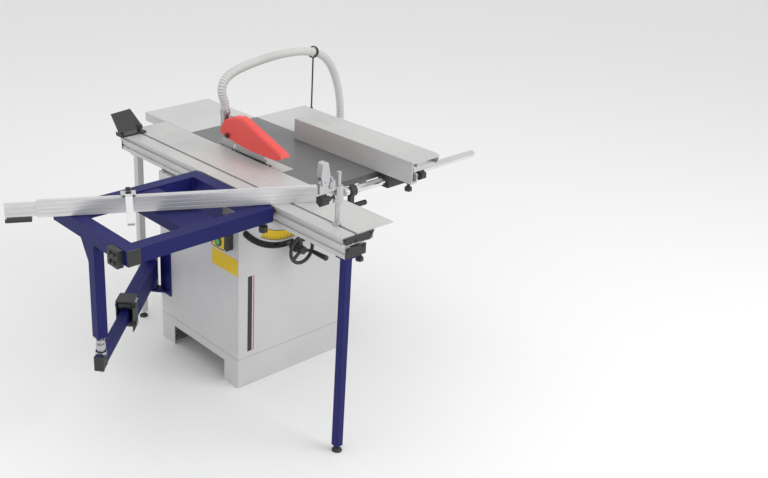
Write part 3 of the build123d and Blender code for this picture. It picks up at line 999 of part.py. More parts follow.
STOP_ALONG = -662.0
with BuildPart() as flip_stop:
    slab(CROSS_END, CROSS_AXIS, (STOP_ALONG - 26, STOP_ALONG + 26), (0, CROSS_THICK + 8),
         (CROSS_TOP + FIT, CROSS_TOP + 12))
    slab(CROSS_END, CROSS_AXIS, (STOP_ALONG - 26, STOP_ALONG + 26), (CROSS_THICK + FIT, CROSS_THICK + 8),
         (CROSS_TOP - 26, CROSS_TOP + 5))
    slab(CROSS_END, CROSS_AXIS, (STOP_ALONG - 9, STOP_ALONG + 9), (0, CROSS_THICK + 7),
         (CROSS_TOP + 12, CROSS_TOP + 24))
    for side in (-1, 1):
        ends = sorted((STOP_ALONG + side * 13.5, STOP_ALONG + side * 22))
        slab(CROSS_END, CROSS_AXIS, ends, (-17, 0), (CROSS_TOP + 1, CROSS_TOP + 17))
    bar(on_fence(STOP_ALONG - 24, -10, CROSS_TOP + 9), on_fence(STOP_ALONG + 24, -10, CROSS_TOP + 9), 4)
    star_knob(on_fence(STOP_ALONG, CROSS_THICK + 12, CROSS_TOP - 12),
              on_fence(STOP_ALONG, CROSS_THICK + 34, CROSS_TOP - 12), 13)
    bar(on_fence(STOP_ALONG, CROSS_THICK + 6, CROSS_TOP - 12),
        on_fence(STOP_ALONG, CROSS_THICK + 13, CROSS_TOP - 12), 4)
save(flip_stop, "flip_stop")

FINGER_PLANE = Plane(origin=on_fence(STOP_ALONG - 12.5, 0, 0), x_dir=CROSS_REAR, z_dir=CROSS_AXIS)
with BuildPart() as stop_finger:
    prism([(-7, CROSS_TOP + 5), (-13, CROSS_TOP + 14), (-24, CROSS_TOP + 8), (-121, 861), (-121, 853),
           (-113, 853), (-20, CROSS_TOP - 1)], FINGER_PLANE, 25)
    bar(on_fence(STOP_ALONG - 12.5, -10, CROSS_TOP + 9), on_fence(STOP_ALONG + 12.5, -10, CROSS_TOP + 9), 8)
    bar(on_fence(STOP_ALONG - 13, -10, CROSS_TOP + 9), on_fence(STOP_ALONG + 13, -10, CROSS_TOP + 9),
        4 + RUNNING, mode=Mode.SUBTRACT)
save(stop_finger, "stop_finger")

# ---------------------------------------------------------------- hold-down on the carriage
HOLD_Y = -719.0
COLUMN_TOP = 1041.0
COLUMN_RADIUS = 8.0


def t_bolt(y, top):
    """Flat-headed bolt standing in the carriage's T-slot."""
    block((T_SLOT_X - 10, y - 12, T_SLOT_FLOOR + 1), (T_SLOT_X + 10, y + 12, T_SLOT_LIP - 1))
    bar((T_SLOT_X, y, T_SLOT_LIP - 2), (T_SLOT_X, y, top), T_SLOT_MOUTH / 2 - CLEAR)


with BuildPart() as hold_down_column:
    t_bolt(HOLD_Y, TABLE_TOP + 3)
    bar((T_SLOT_X, HOLD_Y, TABLE_TOP + 0.4), (T_SLOT_X, HOLD_Y, TABLE_TOP + 7), 15)
    bar((T_SLOT_X, HOLD_Y, TABLE_TOP + 5), (T_SLOT_X, HOLD_Y, COLUMN_TOP), COLUMN_RADIUS)
    chamfer(hold_down_column.faces().sort_by(Axis.Z)[-1].edges(), 1)
save(hold_down_column, "hold_down_column")

CLAMP_Z = 954.0
LEVER_PIVOT = (-268.0, 1020.0)
with BuildPart() as hold_down_head:
    bar((T_SLOT_X, HOLD_Y, 931), (T_SLOT_X, HOLD_Y, 992), 17)
    fillet(hold_down_head.faces().filter_by(Axis.Z).edges(), 2)
    prism([(-290, 980), (-205, 980), (-205, 990), (-250, 991), (-254, 1016), (-260, 1031), (-278, 1032),
           (-290, 1018)], wall_y(HOLD_Y + 5), 10)
    bar((-222, HOLD_Y, CLAMP_Z), (-212, HOLD_Y, CLAMP_Z), 9)
    bar((T_SLOT_X, HOLD_Y, 930), (T_SLOT_X, HOLD_Y, 993), COLUMN_RADIUS + RUNNING, mode=Mode.SUBTRACT)
    bar((LEVER_PIVOT[0], HOLD_Y + 14, LEVER_PIVOT[1]), (LEVER_PIVOT[0], HOLD_Y - 14, LEVER_PIVOT[1]), 5)
save(hold_down_head, "hold_down_head")

with BuildPart() as hold_down_knob:
    star_knob((-242, HOLD_Y, CLAMP_Z), (-284, HOLD_Y, CLAMP_Z), 20)
    bar((-222.5, HOLD_Y, CLAMP_Z), (-243, HOLD_Y, CLAMP_Z), 5)
save(hold_down_knob, "hold_down_knob")

with BuildPart() as hold_down_lever:
    prism([(-282, 1008), (-256, 1008), (-252, 1046), (-262, 1090), (-286, 1090), (-290, 1040)],
          wall_y(HOLD_Y + 12), 24)
    block((-300, HOLD_Y - 5.5, 970), (-240, HOLD_Y + 5.5, 1038), mode=Mode.SUBTRACT)
    fillet(hold_down_lever.faces().sort_by(Axis.Z)[-1].edges().filter_by(Axis.Y), 8)
    bar((-262, HOLD_Y, 1052), (-234, HOLD_Y, 1024), 4)
    bar((-234, HOLD_Y, 1028), (-234, HOLD_Y, 1006), 5)
    bar((-234, HOLD_Y, 1016), (-234, HOLD_Y, 995), 13)
    bar((LEVER_PIVOT[0], HOLD_Y + 13, LEVER_PIVOT[1]), (LEVER_PIVOT[0], HOLD_Y - 13, LEVER_PIVOT[1]),
        5 + RUNNING, mode=Mode.SUBTRACT)
save(hold_down_lever, "hold_down_lever")

SHOE_Y = 500.0
with BuildPart() as edging_shoe:
    t_bolt(SHOE_Y, TABLE_TOP + 22)
    prism([(-299, 866), (-299, TABLE_TOP + 8), (-180, TABLE_TOP + 8), (-180, TABLE_TOP + 0.4),
           (-302, TABLE_TOP + 0.4), (-302, 868)], wall_y(SHOE_Y + 22), 44)
    shoe_plate = Plane(origin=(-305, SHOE_Y - 6, 866), x_dir=(1, 0, 0), z_dir=(0, -0.8, 0.6))
    with BuildSketch(shoe_plate) as plate_face:
        Polygon((0, 0), (120, 4), (92, 94), (-4, 88), align=None)
    extrude(plate_face.sketch, amount=4)
    block((-296, SHOE_Y - 10, TABLE_TOP + 6), (-284, SHOE_Y + 16, 872))
    star_knob((T_SLOT_X, SHOE_Y, TABLE_TOP + 8), (T_SLOT_X, SHOE_Y, TABLE_TOP + 34), 15)
save(edging_shoe, "edging_shoe")

# ---------------------------------------------------------------- rip fence and its rail
with BuildPart() as front_rail:
    bar((RAIL_START, RAIL_Y, RAIL_Z), (RAIL_END, RAIL_Y, RAIL_Z), RAIL_RADIUS)
    chamfer(front_rail.faces().filter_by(Axis.X).edges(), 1.5)
    for x in (76, 300, 560):
        rear_y = TABLE_FRONT if x < TABLE_RIGHT else TABLE_FRONT + 2
        block((x - 9, RAIL_Y, TABLE_UNDER + 4), (x + 9, rear_y, TABLE_UNDER + 14))
save(front_rail, "front_rail")

LEVER_X = 100.0
with BuildPart() as rail_lever:
    bar((LEVER_X - 12, RAIL_Y, RAIL_Z), (LEVER_X + 12, RAIL_Y, RAIL_Z), RAIL_RADIUS + 8)
    block((LEVER_X - 10, RAIL_Y - 8, 752), (LEVER_X + 10, RAIL_Y + 8, RAIL_Z))
    block((LEVER_X - 13, RAIL_Y, TABLE_UNDER), (LEVER_X + 13, RAIL_Y + 30, TABLE_UNDER + 18),
          mode=Mode.SUBTRACT)
    bar((LEVER_X + 5, RAIL_Y, 757), (LEVER_X + 30, RAIL_Y, 757), 5)
    bar((LEVER_X + 22, RAIL_Y, 757), (LEVER_X + 78, RAIL_Y, 757), 10)
    fillet(rail_lever.faces().filter_by(Axis.X).sort_by(Axis.X)[-1].edges(), 3)
    bar((LEVER_X - 13, RAIL_Y, RAIL_Z), (LEVER_X + 13, RAIL_Y, RAIL_Z), RAIL_RADIUS + RUNNING,
        mode=Mode.SUBTRACT)
save(rail_lever, "rail_lever")

CARRIER_X = (270.0, 402.0)
with BuildPart() as rip_carrier:
    block((CARRIER_X[0], RAIL_Y - 25, 796), (CARRIER_X[1], TABLE_FRONT - 4, TABLE_TOP + 0.6))
    fillet(rip_carrier.edges().filter_by(Axis.X), 6)
    block((CARRIER_X[0] + 16, RAIL_Y - 108, 836), (CARRIER_X[0] + 38, RAIL_Y - 20, 847))
    star_knob((CARRIER_X[0] + 27, RAIL_Y - 100, 828), (CARRIER_X[0] + 27, RAIL_Y - 100, 806), 14)
    bar((CARRIER_X[0] + 27, RAIL_Y - 100, 838), (CARRIER_X[0] + 27, RAIL_Y - 100, 826), 5)
    bar((CARRIER_X[0] - 1, RAIL_Y, RAIL_Z), (CARRIER_X[1] + 1, RAIL_Y, RAIL_Z), RAIL_RADIUS + RUNNING,
        mode=Mode.SUBTRACT)
    block((CARRIER_X[0] - 1, RAIL_Y, TABLE_UNDER + 2), (CARRIER_X[1] + 1, TABLE_FRONT, TABLE_UNDER + 16),
          mode=Mode.SUBTRACT)
save(rip_carrier, "rip_carrier")

FENCE_BOTTOM = TABLE_TOP + 1.0
FENCE_WALL = 4.0
CHANNEL_WIDTH = 30.0
CHANNEL_HEIGHT = 38.0
FENCE_PROFILE = Plane(origin=(FENCE_FACE_X, FENCE_FRONT, FENCE_BOTTOM), x_dir=(1, 0, 0), z_dir=(0, -1, 0))
with BuildPart() as rip_fence:
    with BuildSketch(FENCE_PROFILE) as profile:
        for low, high in (((0, 0), (FENCE_WALL, FENCE_HEIGHT)), ((0, 0), (CHANNEL_WIDTH, 8)),
                          ((CHANNEL_WIDTH - FENCE_WALL, 0), (CHANNEL_WIDTH, CHANNEL_HEIGHT)),
                          ((CHANNEL_WIDTH - 10, CHANNEL_HEIGHT - FENCE_WALL), (CHANNEL_WIDTH, CHANNEL_HEIGHT)),
                          ((0, FENCE_HEIGHT - 8), (FENCE_FLANGE, FENCE_HEIGHT)),
                          ((CHANNEL_WIDTH - FENCE_WALL, FENCE_HEIGHT - 24), (CHANNEL_WIDTH, FENCE_HEIGHT)),
                          ((FENCE_FLANGE - 6, FENCE_HEIGHT - 30), (FENCE_FLANGE, FENCE_HEIGHT)),
                          ((FENCE_FLANGE - 14, FENCE_HEIGHT - 30), (FENCE_FLANGE, FENCE_HEIGHT - 26))):
            with Locations(((low[0] + high[0]) / 2, (low[1] + high[1]) / 2)):
                Rectangle(high[0] - low[0], high[1] - low[1])
    extrude(profile.sketch, amount=-FENCE_LENGTH)
save(rip_fence, "rip_fence")

KNOB_AXIS = (FENCE_FRONT + 14.0, FENCE_BOTTOM + 20.0)
with BuildPart() as fence_knob:
    knob_left = FENCE_FACE_X + CHANNEL_WIDTH + CLEAR
    bar((knob_left, *KNOB_AXIS), (knob_left + 12, *KNOB_AXIS), 6)
    star_knob((knob_left + 8, *KNOB_AXIS), (knob_left + 46, *KNOB_AXIS), 18)
save(fence_knob, "fence_knob")
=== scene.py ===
import math

import bmesh
import bpy
from mathutils import Matrix, Vector


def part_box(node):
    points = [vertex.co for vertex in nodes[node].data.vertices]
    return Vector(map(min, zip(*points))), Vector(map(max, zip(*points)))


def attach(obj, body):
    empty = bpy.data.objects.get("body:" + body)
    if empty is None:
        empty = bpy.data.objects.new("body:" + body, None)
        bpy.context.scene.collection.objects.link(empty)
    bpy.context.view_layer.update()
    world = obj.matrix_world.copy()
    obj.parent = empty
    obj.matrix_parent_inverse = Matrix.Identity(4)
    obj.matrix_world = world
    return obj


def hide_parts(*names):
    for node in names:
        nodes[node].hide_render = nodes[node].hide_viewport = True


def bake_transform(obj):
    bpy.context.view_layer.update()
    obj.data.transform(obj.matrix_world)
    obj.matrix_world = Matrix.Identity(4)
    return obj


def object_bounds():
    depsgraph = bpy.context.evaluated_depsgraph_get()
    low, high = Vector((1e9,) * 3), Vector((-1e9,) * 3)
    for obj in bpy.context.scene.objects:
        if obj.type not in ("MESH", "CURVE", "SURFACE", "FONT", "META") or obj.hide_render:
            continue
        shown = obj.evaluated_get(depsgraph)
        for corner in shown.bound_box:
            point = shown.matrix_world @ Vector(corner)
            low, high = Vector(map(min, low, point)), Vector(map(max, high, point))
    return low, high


# Panel saw: finishes for the CAD pieces, the ribbed hose, and the small parts that dress it.
# Metres, in the part's frame: floor at z = 0, +X to the operator's right, +Y to the rear.

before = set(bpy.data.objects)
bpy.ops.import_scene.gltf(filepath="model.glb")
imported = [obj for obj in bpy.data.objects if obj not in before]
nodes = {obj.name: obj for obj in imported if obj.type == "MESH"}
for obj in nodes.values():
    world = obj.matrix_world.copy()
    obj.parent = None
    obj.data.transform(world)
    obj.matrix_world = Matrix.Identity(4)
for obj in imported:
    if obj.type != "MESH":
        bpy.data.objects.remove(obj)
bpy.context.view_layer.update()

# ---------------------------------------------------------------- camera
CAMERA_AT = (-2.4603, -3.0794, 2.2666)
CAMERA_TURN = math.radians(-37.22)
CAMERA_RISE = math.radians(23.15)

camera_data = bpy.data.cameras.new("camera")
camera_data.sensor_width = 36.0
camera_data.lens = 49.457
camera_data.shift_x = 0.2052
camera_data.shift_y = -0.0291
camera = bpy.data.objects.new("camera", camera_data)
bpy.context.scene.collection.objects.link(camera)
camera.location = CAMERA_AT
camera_back = Vector((math.sin(CAMERA_TURN) * math.cos(CAMERA_RISE),
                      -math.cos(CAMERA_TURN) * math.cos(CAMERA_RISE),
                      math.sin(CAMERA_RISE)))
camera.rotation_mode = "QUATERNION"
camera.rotation_quaternion = (-camera_back).to_track_quat("-Z", "Y")
bpy.context.scene.camera = camera


# ---------------------------------------------------------------- finishes
def material(name, colour, second, roughness, metallic=0.0, grain=(400, 400, 400), turn=0.0,
             relief=0.15, spread=0.08, patch=3.0, edge=None, edge_width=0.0012, edge_highlight_strength=0.6,
             coat=0.0, shine=0.5):
    """A finish with patches of a second colour, a fine grain in bump and roughness, and a painted edge
    highlight on convex edges.

    grain is the noise scale along each axis, and turn rotates it about Z, in degrees. edge is the lighter
    colour of the painted edge highlight; None leaves it out.
    """
    made = bpy.data.materials.new(name)
    made.use_nodes = True
    tree = made.node_tree
    add, link = tree.nodes.new, tree.links.new
    shader = tree.nodes["Principled BSDF"]
    shader.inputs["Metallic"].default_value = metallic
    shader.inputs["Coat Weight"].default_value = coat
    shader.inputs["Coat Roughness"].default_value = 0.15
    shader.inputs["Specular IOR Level"].default_value = shine

    place = add("ShaderNodeTexCoord")
    patches = add("ShaderNodeTexNoise")
    patches.inputs["Scale"].default_value = patch
    patches.inputs["Detail"].default_value = 6.0
    patches.inputs["Roughness"].default_value = 0.62
    link(place.outputs["Object"], patches.inputs["Vector"])

    mapping = add("ShaderNodeMapping")
    mapping.vector_type = "TEXTURE"
    mapping.inputs["Rotation"].default_value[2] = math.radians(turn)
    link(place.outputs["Object"], mapping.inputs["Vector"])
    stretch = add("ShaderNodeVectorMath")
    stretch.operation = "MULTIPLY"
    stretch.inputs[1].default_value = grain
    link(mapping.outputs["Vector"], stretch.inputs[0])
    fine = add("ShaderNodeTexNoise")
    fine.inputs["Scale"].default_value = 1.0
    fine.inputs["Detail"].default_value = 3.0
    link(stretch.outputs["Vector"], fine.inputs["Vector"])

    ramp = add("ShaderNodeMapRange")
    ramp.inputs["From Min"].default_value = 0.38
    ramp.inputs["From Max"].default_value = 0.66
    link(patches.outputs["Fac"], ramp.inputs["Value"])
    blend = add("ShaderNodeMix")
    blend.data_type = "RGBA"
    blend.inputs["A"].default_value = (*colour, 1)
    blend.inputs["B"].default_value = (*second, 1)
    link(ramp.outputs["Result"], blend.inputs["Factor"])
    speck = add("ShaderNodeMix")
    speck.data_type = "RGBA"
    speck.blend_type = "MULTIPLY"
    speck.inputs["B"].default_value = (0.86, 0.86, 0.86, 1)
    link(blend.outputs["Result"], speck.inputs["A"])
    grain_tone = add("ShaderNodeMapRange")
    grain_tone.inputs["From Min"].default_value = 0.45
    grain_tone.inputs["From Max"].default_value = 0.75
    link(fine.outputs["Fac"], grain_tone.inputs["Value"])
    link(grain_tone.outputs["Result"], speck.inputs["Factor"])
    tone = speck.outputs["Result"]

    rounded = add("ShaderNodeBevel")
    rounded.samples = 3
    rounded.inputs["Radius"].default_value = edge_width
    # Painted edge highlight: where the bevelled normal turns away from the face normal, the colour is
    # mixed evenly towards the lighter edge colour.
    if edge is not None:
        facing = add("ShaderNodeNewGeometry")
        align = add("ShaderNodeVectorMath")
        align.operation = "DOT_PRODUCT"
        link(rounded.outputs["Normal"], align.inputs[0])
        link(facing.outputs["Normal"], align.inputs[1])
        edge_highlight_mask = add("ShaderNodeMapRange")
        edge_highlight_mask.inputs["From Min"].default_value = 0.995
        edge_highlight_mask.inputs["From Max"].default_value = 0.90
        link(align.outputs["Value"], edge_highlight_mask.inputs["Value"])
        edge_highlight_amount = add("ShaderNodeMath")
        edge_highlight_amount.operation = "MULTIPLY"
        edge_highlight_amount.inputs[1].default_value = edge_highlight_strength
        link(edge_highlight_mask.outputs["Result"], edge_highlight_amount.inputs[0])
        edge_highlight_mix = add("ShaderNodeMix")
        edge_highlight_mix.data_type = "RGBA"
        edge_highlight_mix.inputs["B"].default_value = (*edge, 1)
        link(edge_highlight_amount.outputs["Value"], edge_highlight_mix.inputs["Factor"])
        link(tone, edge_highlight_mix.inputs["A"])
        tone = edge_highlight_mix.outputs["Result"]
    link(tone, shader.inputs["Base Color"])

    rough = add("ShaderNodeMapRange")
    rough.inputs["To Min"].default_value = max(roughness - spread, 0.03)
    rough.inputs["To Max"].default_value = min(roughness + spread, 1.0)
    link(fine.outputs["Fac"], rough.inputs["Value"])
    link(rough.outputs["Result"], shader.inputs["Roughness"])
    bump = add("ShaderNodeBump")
    bump.inputs["Strength"].default_value = relief
    bump.inputs["Distance"].default_value = 0.0004
    link(fine.outputs["Fac"], bump.inputs["Height"])
    link(rounded.outputs["Normal"], bump.inputs["Normal"])
    link(bump.outputs["Normal"], shader.inputs["Normal"])
    return made


FENCE_TURN = -28.9
LONG_X = (6, 500, 500)
LONG_Y = (500, 6, 500)
FINE = (900, 900, 900)
# Each edge colour is a lighter tint used as a painted edge highlight on that finish's convex edges.
FINISHES = {
    "light_grey_paint": material("powder_coat_grey", (0.60, 0.60, 0.605), (0.56, 0.56, 0.57), 0.42,
                                 grain=(700, 700, 700), relief=0.25, edge=(0.85, 0.85, 0.85)),
    "navy_paint": material("powder_coat_navy", (0.008, 0.009, 0.118), (0.006, 0.007, 0.098), 0.50,
                           grain=(700, 700, 700), relief=0.25, edge=(0.06, 0.07, 0.26),
                           shine=0.25),
    "cast_iron": material("ground_iron", (0.200, 0.202, 0.206), (0.165, 0.168, 0.172), 0.38,
                          metallic=0.35, grain=(14, 700, 700), relief=0.12, patch=5.0,
                          edge=(0.5, 0.5, 0.5)),
    "aluminium": material("brushed_aluminium", (0.62, 0.62, 0.61), (0.54, 0.54, 0.54), 0.48,
                          metallic=0.35, grain=LONG_Y, relief=0.10, edge=(0.85, 0.85, 0.85)),
    "fence_aluminium": material("bright_extrusion", (0.74, 0.74, 0.74), (0.64, 0.64, 0.65), 0.33,
                                metallic=0.55, grain=LONG_X, turn=FENCE_TURN, relief=0.12,
                                edge=(0.92, 0.92, 0.92)),
    "steel": material("turned_steel", (0.56, 0.56, 0.57), (0.46, 0.46, 0.47), 0.30, metallic=0.9,
                      grain=(60, 60, 700), relief=0.08, edge=(0.85, 0.85, 0.85)),
    "chrome": material("hard_chrome", (0.80, 0.80, 0.81), (0.74, 0.74, 0.76), 0.12, metallic=1.0,
                       grain=(10, 500, 500), relief=0.03, spread=0.04),
    "black_plastic": material("moulded_black", (0.022, 0.022, 0.023), (0.030, 0.030, 0.031), 0.46,
                              grain=(1300, 1300, 1300), relief=0.3, edge=(0.11, 0.11, 0.11)),
    "black_metal": material("black_oxide", (0.030, 0.031, 0.033), (0.045, 0.045, 0.047), 0.40,
                            metallic=0.3, grain=FINE, relief=0.2, edge=(0.20, 0.20, 0.20)),
    "red_guard": material("guard_red", (0.84, 0.075, 0.062), (0.78, 0.060, 0.052), 0.33,
                          grain=(500, 500, 500), relief=0.12, edge=(0.95, 0.30, 0.26), coat=0.15),
    "hose": material("hose_pvc", (0.74, 0.74, 0.72), (0.66, 0.66, 0.64), 0.45,
                     grain=(300, 300, 300), relief=0.1),
    "red_button": material("button_red", (0.70, 0.03, 0.02), (0.62, 0.02, 0.02), 0.28, grain=FINE,
                           relief=0.08, edge=(0.9, 0.3, 0.3), coat=0.3),
    "green_button": material("button_green", (0.03, 0.42, 0.07), (0.02, 0.34, 0.05), 0.28,
                             grain=FINE, relief=0.08, edge=(0.2, 0.7, 0.3), coat=0.3),
    "blade_steel": material("blade_steel", (0.58, 0.58, 0.59), (0.50, 0.50, 0.52), 0.22,
                            metallic=0.95, grain=(400, 30, 400), relief=0.08,
                            edge=(0.9, 0.9, 0.9)),
    "belt_rubber": material("belt_rubber", (0.018, 0.018, 0.018), (0.028, 0.028, 0.028), 0.75,
                            grain=(90, 900, 900), relief=0.5),
    "foot_plastic": material("foot_rubber", (0.028, 0.028, 0.028), (0.040, 0.040, 0.040), 0.62,
                             grain=FINE, relief=0.35, edge=(0.12, 0.12, 0.12)),
}
YELLOW = material("plate_yellow", (0.80, 0.56, 0.02), (0.74, 0.50, 0.02), 0.38, grain=FINE,
                  relief=0.05)
INK = material("print_black", (0.02, 0.02, 0.02), (0.03, 0.03, 0.03), 0.5, grain=FINE, relief=0.05)
RED_FILM = material("film_red", (0.62, 0.02, 0.03), (0.56, 0.02, 0.03), 0.35, grain=FINE,
                    relief=0.05)
# Painted shade: a darker grey for the bottom of the hose's grooves, where shade falls between the ribs.
HOSE_GROOVE_SHADE = material("hose_groove_painted_shade", (0.50, 0.50, 0.49), (0.44, 0.44, 0.43), 0.55,
                       grain=(300, 300, 300), relief=0.1)

# A CAD node comes in with a material named after its slot. The fence parts are brighter than the
# other aluminium, and their grain runs along the fence.
FENCE_NODES = ("crosscut_fence", "fence_extension", "flip_stop", "stop_finger")
for name, node in nodes.items():
    slot_name = node.data.materials[0].name
    finish = FINISHES["fence_aluminium" if name in FENCE_NODES else slot_name]
    for place in range(len(node.data.materials)):
        node.data.materials[place] = finish


# ---------------------------------------------------------------- making pieces
def piece(name, mesh, finishes, body, smooth=True):
    """A mesh with its finishes, riding on a body."""
    data = bpy.data.meshes.new(name)
    bmesh.ops.recalc_face_normals(mesh, faces=mesh.faces)
    mesh.to_mesh(data)
    mesh.free()
    for finish in finishes:
        data.materials.append(finish)
    made = bpy.data.objects.new(name, data)
    bpy.context.scene.collection.objects.link(made)
    if smooth:
        data.shade_smooth()
        data.set_sharp_from_angle(angle=math.radians(32))
    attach(made, body)
    return made


def add_block(mesh, low, high, bevel=0.0008, finish=0, turn=None):
    """Adds a block with rounded edges between two corners; turn moves it as a whole."""
    low, high = Vector(low), Vector(high)
    made = bmesh.ops.create_cube(mesh, size=1.0)["verts"]
    bmesh.ops.scale(mesh, vec=high - low, verts=made)
    bmesh.ops.translate(mesh, vec=(low + high) / 2, verts=made)
    edges = list({edge for corner in made for edge in corner.link_edges})
    made = bmesh.ops.bevel(mesh, geom=edges, offset=bevel, segments=2, affect="EDGES")
    faces = set(made["faces"])
    corners = {corner for face in faces for corner in face.verts}
    faces |= {face for corner in corners for face in corner.link_faces}
    for face in faces:
        face.material_index = finish
    if turn is not None:
        bmesh.ops.transform(mesh, matrix=turn, verts=list(corners))


def add_turned(mesh, profile, at, axis, sides=32, finish=0):
    """Adds a body turned about an axis from (radius, height) points."""
    turn = Vector(axis).normalized().to_track_quat("Z", "Y").to_matrix().to_4x4()
    turn.translation = Vector(at)
    rings = []
    for radius, height in profile:
        rings.append([mesh.verts.new(turn @ Vector((radius * math.cos(2 * math.pi * side / sides),
                                                    radius * math.sin(2 * math.pi * side / sides),
                                                    height)))
                      for side in range(sides)])
    for low, high in zip(rings, rings[1:]):
        for side in range(sides):
            mesh.faces.new((low[side], low[(side + 1) % sides], high[(side + 1) % sides],
                            high[side])).material_index = finish
    for ring in (rings[0], rings[-1]):
        mesh.faces.new(ring).material_index = finish


def add_screw(mesh, at, axis, radius=0.004, finish=0):
    """Adds a socket-head screw on a washer, standing out along axis."""
    add_turned(mesh, ((radius * 1.7, 0), (radius * 1.7, radius * 0.22), (radius * 1.6, radius * 0.3),
                      (radius * 1.05, radius * 0.3), (radius, radius * 0.4), (radius, radius * 1.1),
                      (radius * 0.86, radius * 1.28), (radius * 0.56, radius * 1.28)),
               at, axis, 24, finish)
    add_turned(mesh, ((radius * 0.55, radius * 1.29), (radius * 0.5, radius * 0.7)), at, axis, 6, finish)


def screws(name, places, axis, radius, body, finish="steel"):
    """One piece that holds all the screws of a face."""
    mesh = bmesh.new()
    for at in places:
        add_screw(mesh, at, axis, radius)
    return piece(name, mesh, [FINISHES[finish]], body)


def add_sheet_ring(mesh, outline, low, high, to_point, finish=0):
    """Adds a plate with the given closed outline between two depths."""
    front = [mesh.verts.new(to_point(a, b, low)) for a, b in outline]
    back = [mesh.verts.new(to_point(a, b, high)) for a, b in outline]
    mesh.faces.new(front).material_index = finish
    mesh.faces.new(back).material_index = finish
    for here in range(len(outline)):
        after = (here + 1) % len(outline)
        mesh.faces.new((front[here], front[after], back[after], back[here])).material_index = finish


def arc(centre, radius, start, end, steps=24):
    """Points on an arc, angles in degrees."""
    return [(centre[0] + radius * math.cos(math.radians(start + (end - start) * step / steps)),
             centre[1] + radius * math.sin(math.radians(start + (end - start) * step / steps)))
            for step in range(steps + 1)]


def tube(name, points, radius, finish, body, closed=False, sides=10):
    """A round bead that follows points, as a mesh."""
    mesh = bmesh.new()
    count = len(points)
    rings = []
    for here, point in enumerate(points):
        before = points[here - 1] if closed or here else point
        after = points[(here + 1) % count] if closed or here < count - 1 else point
        along = (Vector(after) - Vector(before)).normalized()
        turn = along.to_track_quat("Z", "Y").to_matrix()
        size = radius(here) if callable(radius) else radius
        rings.append([mesh.verts.new(Vector(point) + turn @ Vector((
            size * math.cos(2 * math.pi * side / sides), size * math.sin(2 * math.pi * side / sides), 0)))
            for side in range(sides)])
    pairs = list(zip(rings, rings[1:])) + ([(rings[-1], rings[0])] if closed else [])
    for low, high in pairs:
        for side in range(sides):
            mesh.faces.new((low[side], low[(side + 1) % sides], high[(side + 1) % sides], high[side]))
    if not closed:
        mesh.faces.new(rings[0])
        mesh.faces.new(rings[-1])
    return piece(name, mesh, [finish], body)


# ---------------------------------------------------------------- dust hose
HOSE_ROUTE = [
    (-.020, .141, 1.008), (-.020, .141, 1.034), (-.037, .140, 1.066), (-.036, .142, 1.104),
    (-.010, .149, 1.132), (.044, .164, 1.147), (.130, .190, 1.152), (.260, .228, 1.153),
    (.400, .268, 1.145), (.546, .311, 1.123), (.680, .350, 1.082), (.770, .376, 1.005),
    (.826, .392, .905), (.858, .401, .800), (.864, .404, .690), (.826, .416, .600),
    (.740, .444, .530), (.630, .470, .475), (.515, .470, .430), (.415, .440, .385),
    (.335, .385, .345), (.275, .325, .312), (.225, .299, .300), (.160, .299, .300)]
HOSE_RADIUS = 0.0185
RIB_PITCH = 0.0100
RIB_DEPTH = 0.0024

line = bpy.data.curves.new("hose_line", "CURVE")
line.dimensions = "3D"
line.resolution_u = 24
spline = line.splines.new("NURBS")
spline.points.add(len(HOSE_ROUTE) - 1)
for point, place in zip(spline.points, HOSE_ROUTE):
    point.co = (*place, 1)
spline.order_u = 3
spline.use_endpoint_u = True
line_object = bpy.data.objects.new("hose_line", line)
bpy.context.scene.collection.objects.link(line_object)
bpy.context.view_layer.update()
evaluated = line_object.evaluated_get(bpy.context.evaluated_depsgraph_get())
line_mesh = bpy.data.meshes.new_from_object(evaluated)
hose_line = [vertex.co.copy() for vertex in line_mesh.vertices]
bpy.data.objects.remove(line_object)


def even_points(points, pitch):
    """The same line with points a pitch apart, and its ends kept."""
    total = sum((b - a).length for a, b in zip(points, points[1:]))
    count = round(total / pitch)
    step = total / count
    out, need = [points[0].copy()], step
    for a, b in zip(points, points[1:]):
        run = (b - a).length
        while need <= run + 1e-9 and len(out) < count:
            out.append(a.lerp(b, need / run))
            need += step
        need -= run
    out.append(points[-1].copy())
    return out


rib_points = even_points(hose_line, RIB_PITCH / 4)
mesh = bmesh.new()
SIDES = 28
rings = []
side_way = Vector((0, 1, 0))
for here, point in enumerate(rib_points):
    before = rib_points[max(here - 1, 0)]
    after = rib_points[min(here + 1, len(rib_points) - 1)]
    along = (after - before).normalized()
    side_way = (side_way - along * side_way.dot(along)).normalized()
    up_way = along.cross(side_way)
    radius = HOSE_RADIUS - RIB_DEPTH * (0, 0.5, 1, 0.5)[here % 4]
    rings.append([mesh.verts.new(point + radius * (side_way * math.cos(2 * math.pi * side / SIDES)
                                                   + up_way * math.sin(2 * math.pi * side / SIDES)))
                  for side in range(SIDES)])
# Faces at the bottom of each groove take the darker painted-shade colour; the ribs keep the hose colour.
for here, (low, high) in enumerate(zip(rings, rings[1:])):
    for side in range(SIDES):
        face = mesh.faces.new((low[side], low[(side + 1) % SIDES], high[(side + 1) % SIDES], high[side]))
        face.material_index = 1 if here % 4 in (1, 2) else 0
for ring in (rings[0], rings[-1]):
    mesh.faces.new(ring)
hose_data = bpy.data.meshes.new("ribbed_hose")
bmesh.ops.recalc_face_normals(mesh, faces=mesh.faces)
mesh.to_mesh(hose_data)
mesh.free()
hose_data.materials.append(FINISHES["hose"])
hose_data.materials.append(HOSE_GROOVE_SHADE)
hose_data.shade_smooth()
hose = bpy.data.objects.new("ribbed_hose", hose_data)
bpy.context.scene.collection.objects.link(hose)
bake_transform(hose)
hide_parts("dust_hose")

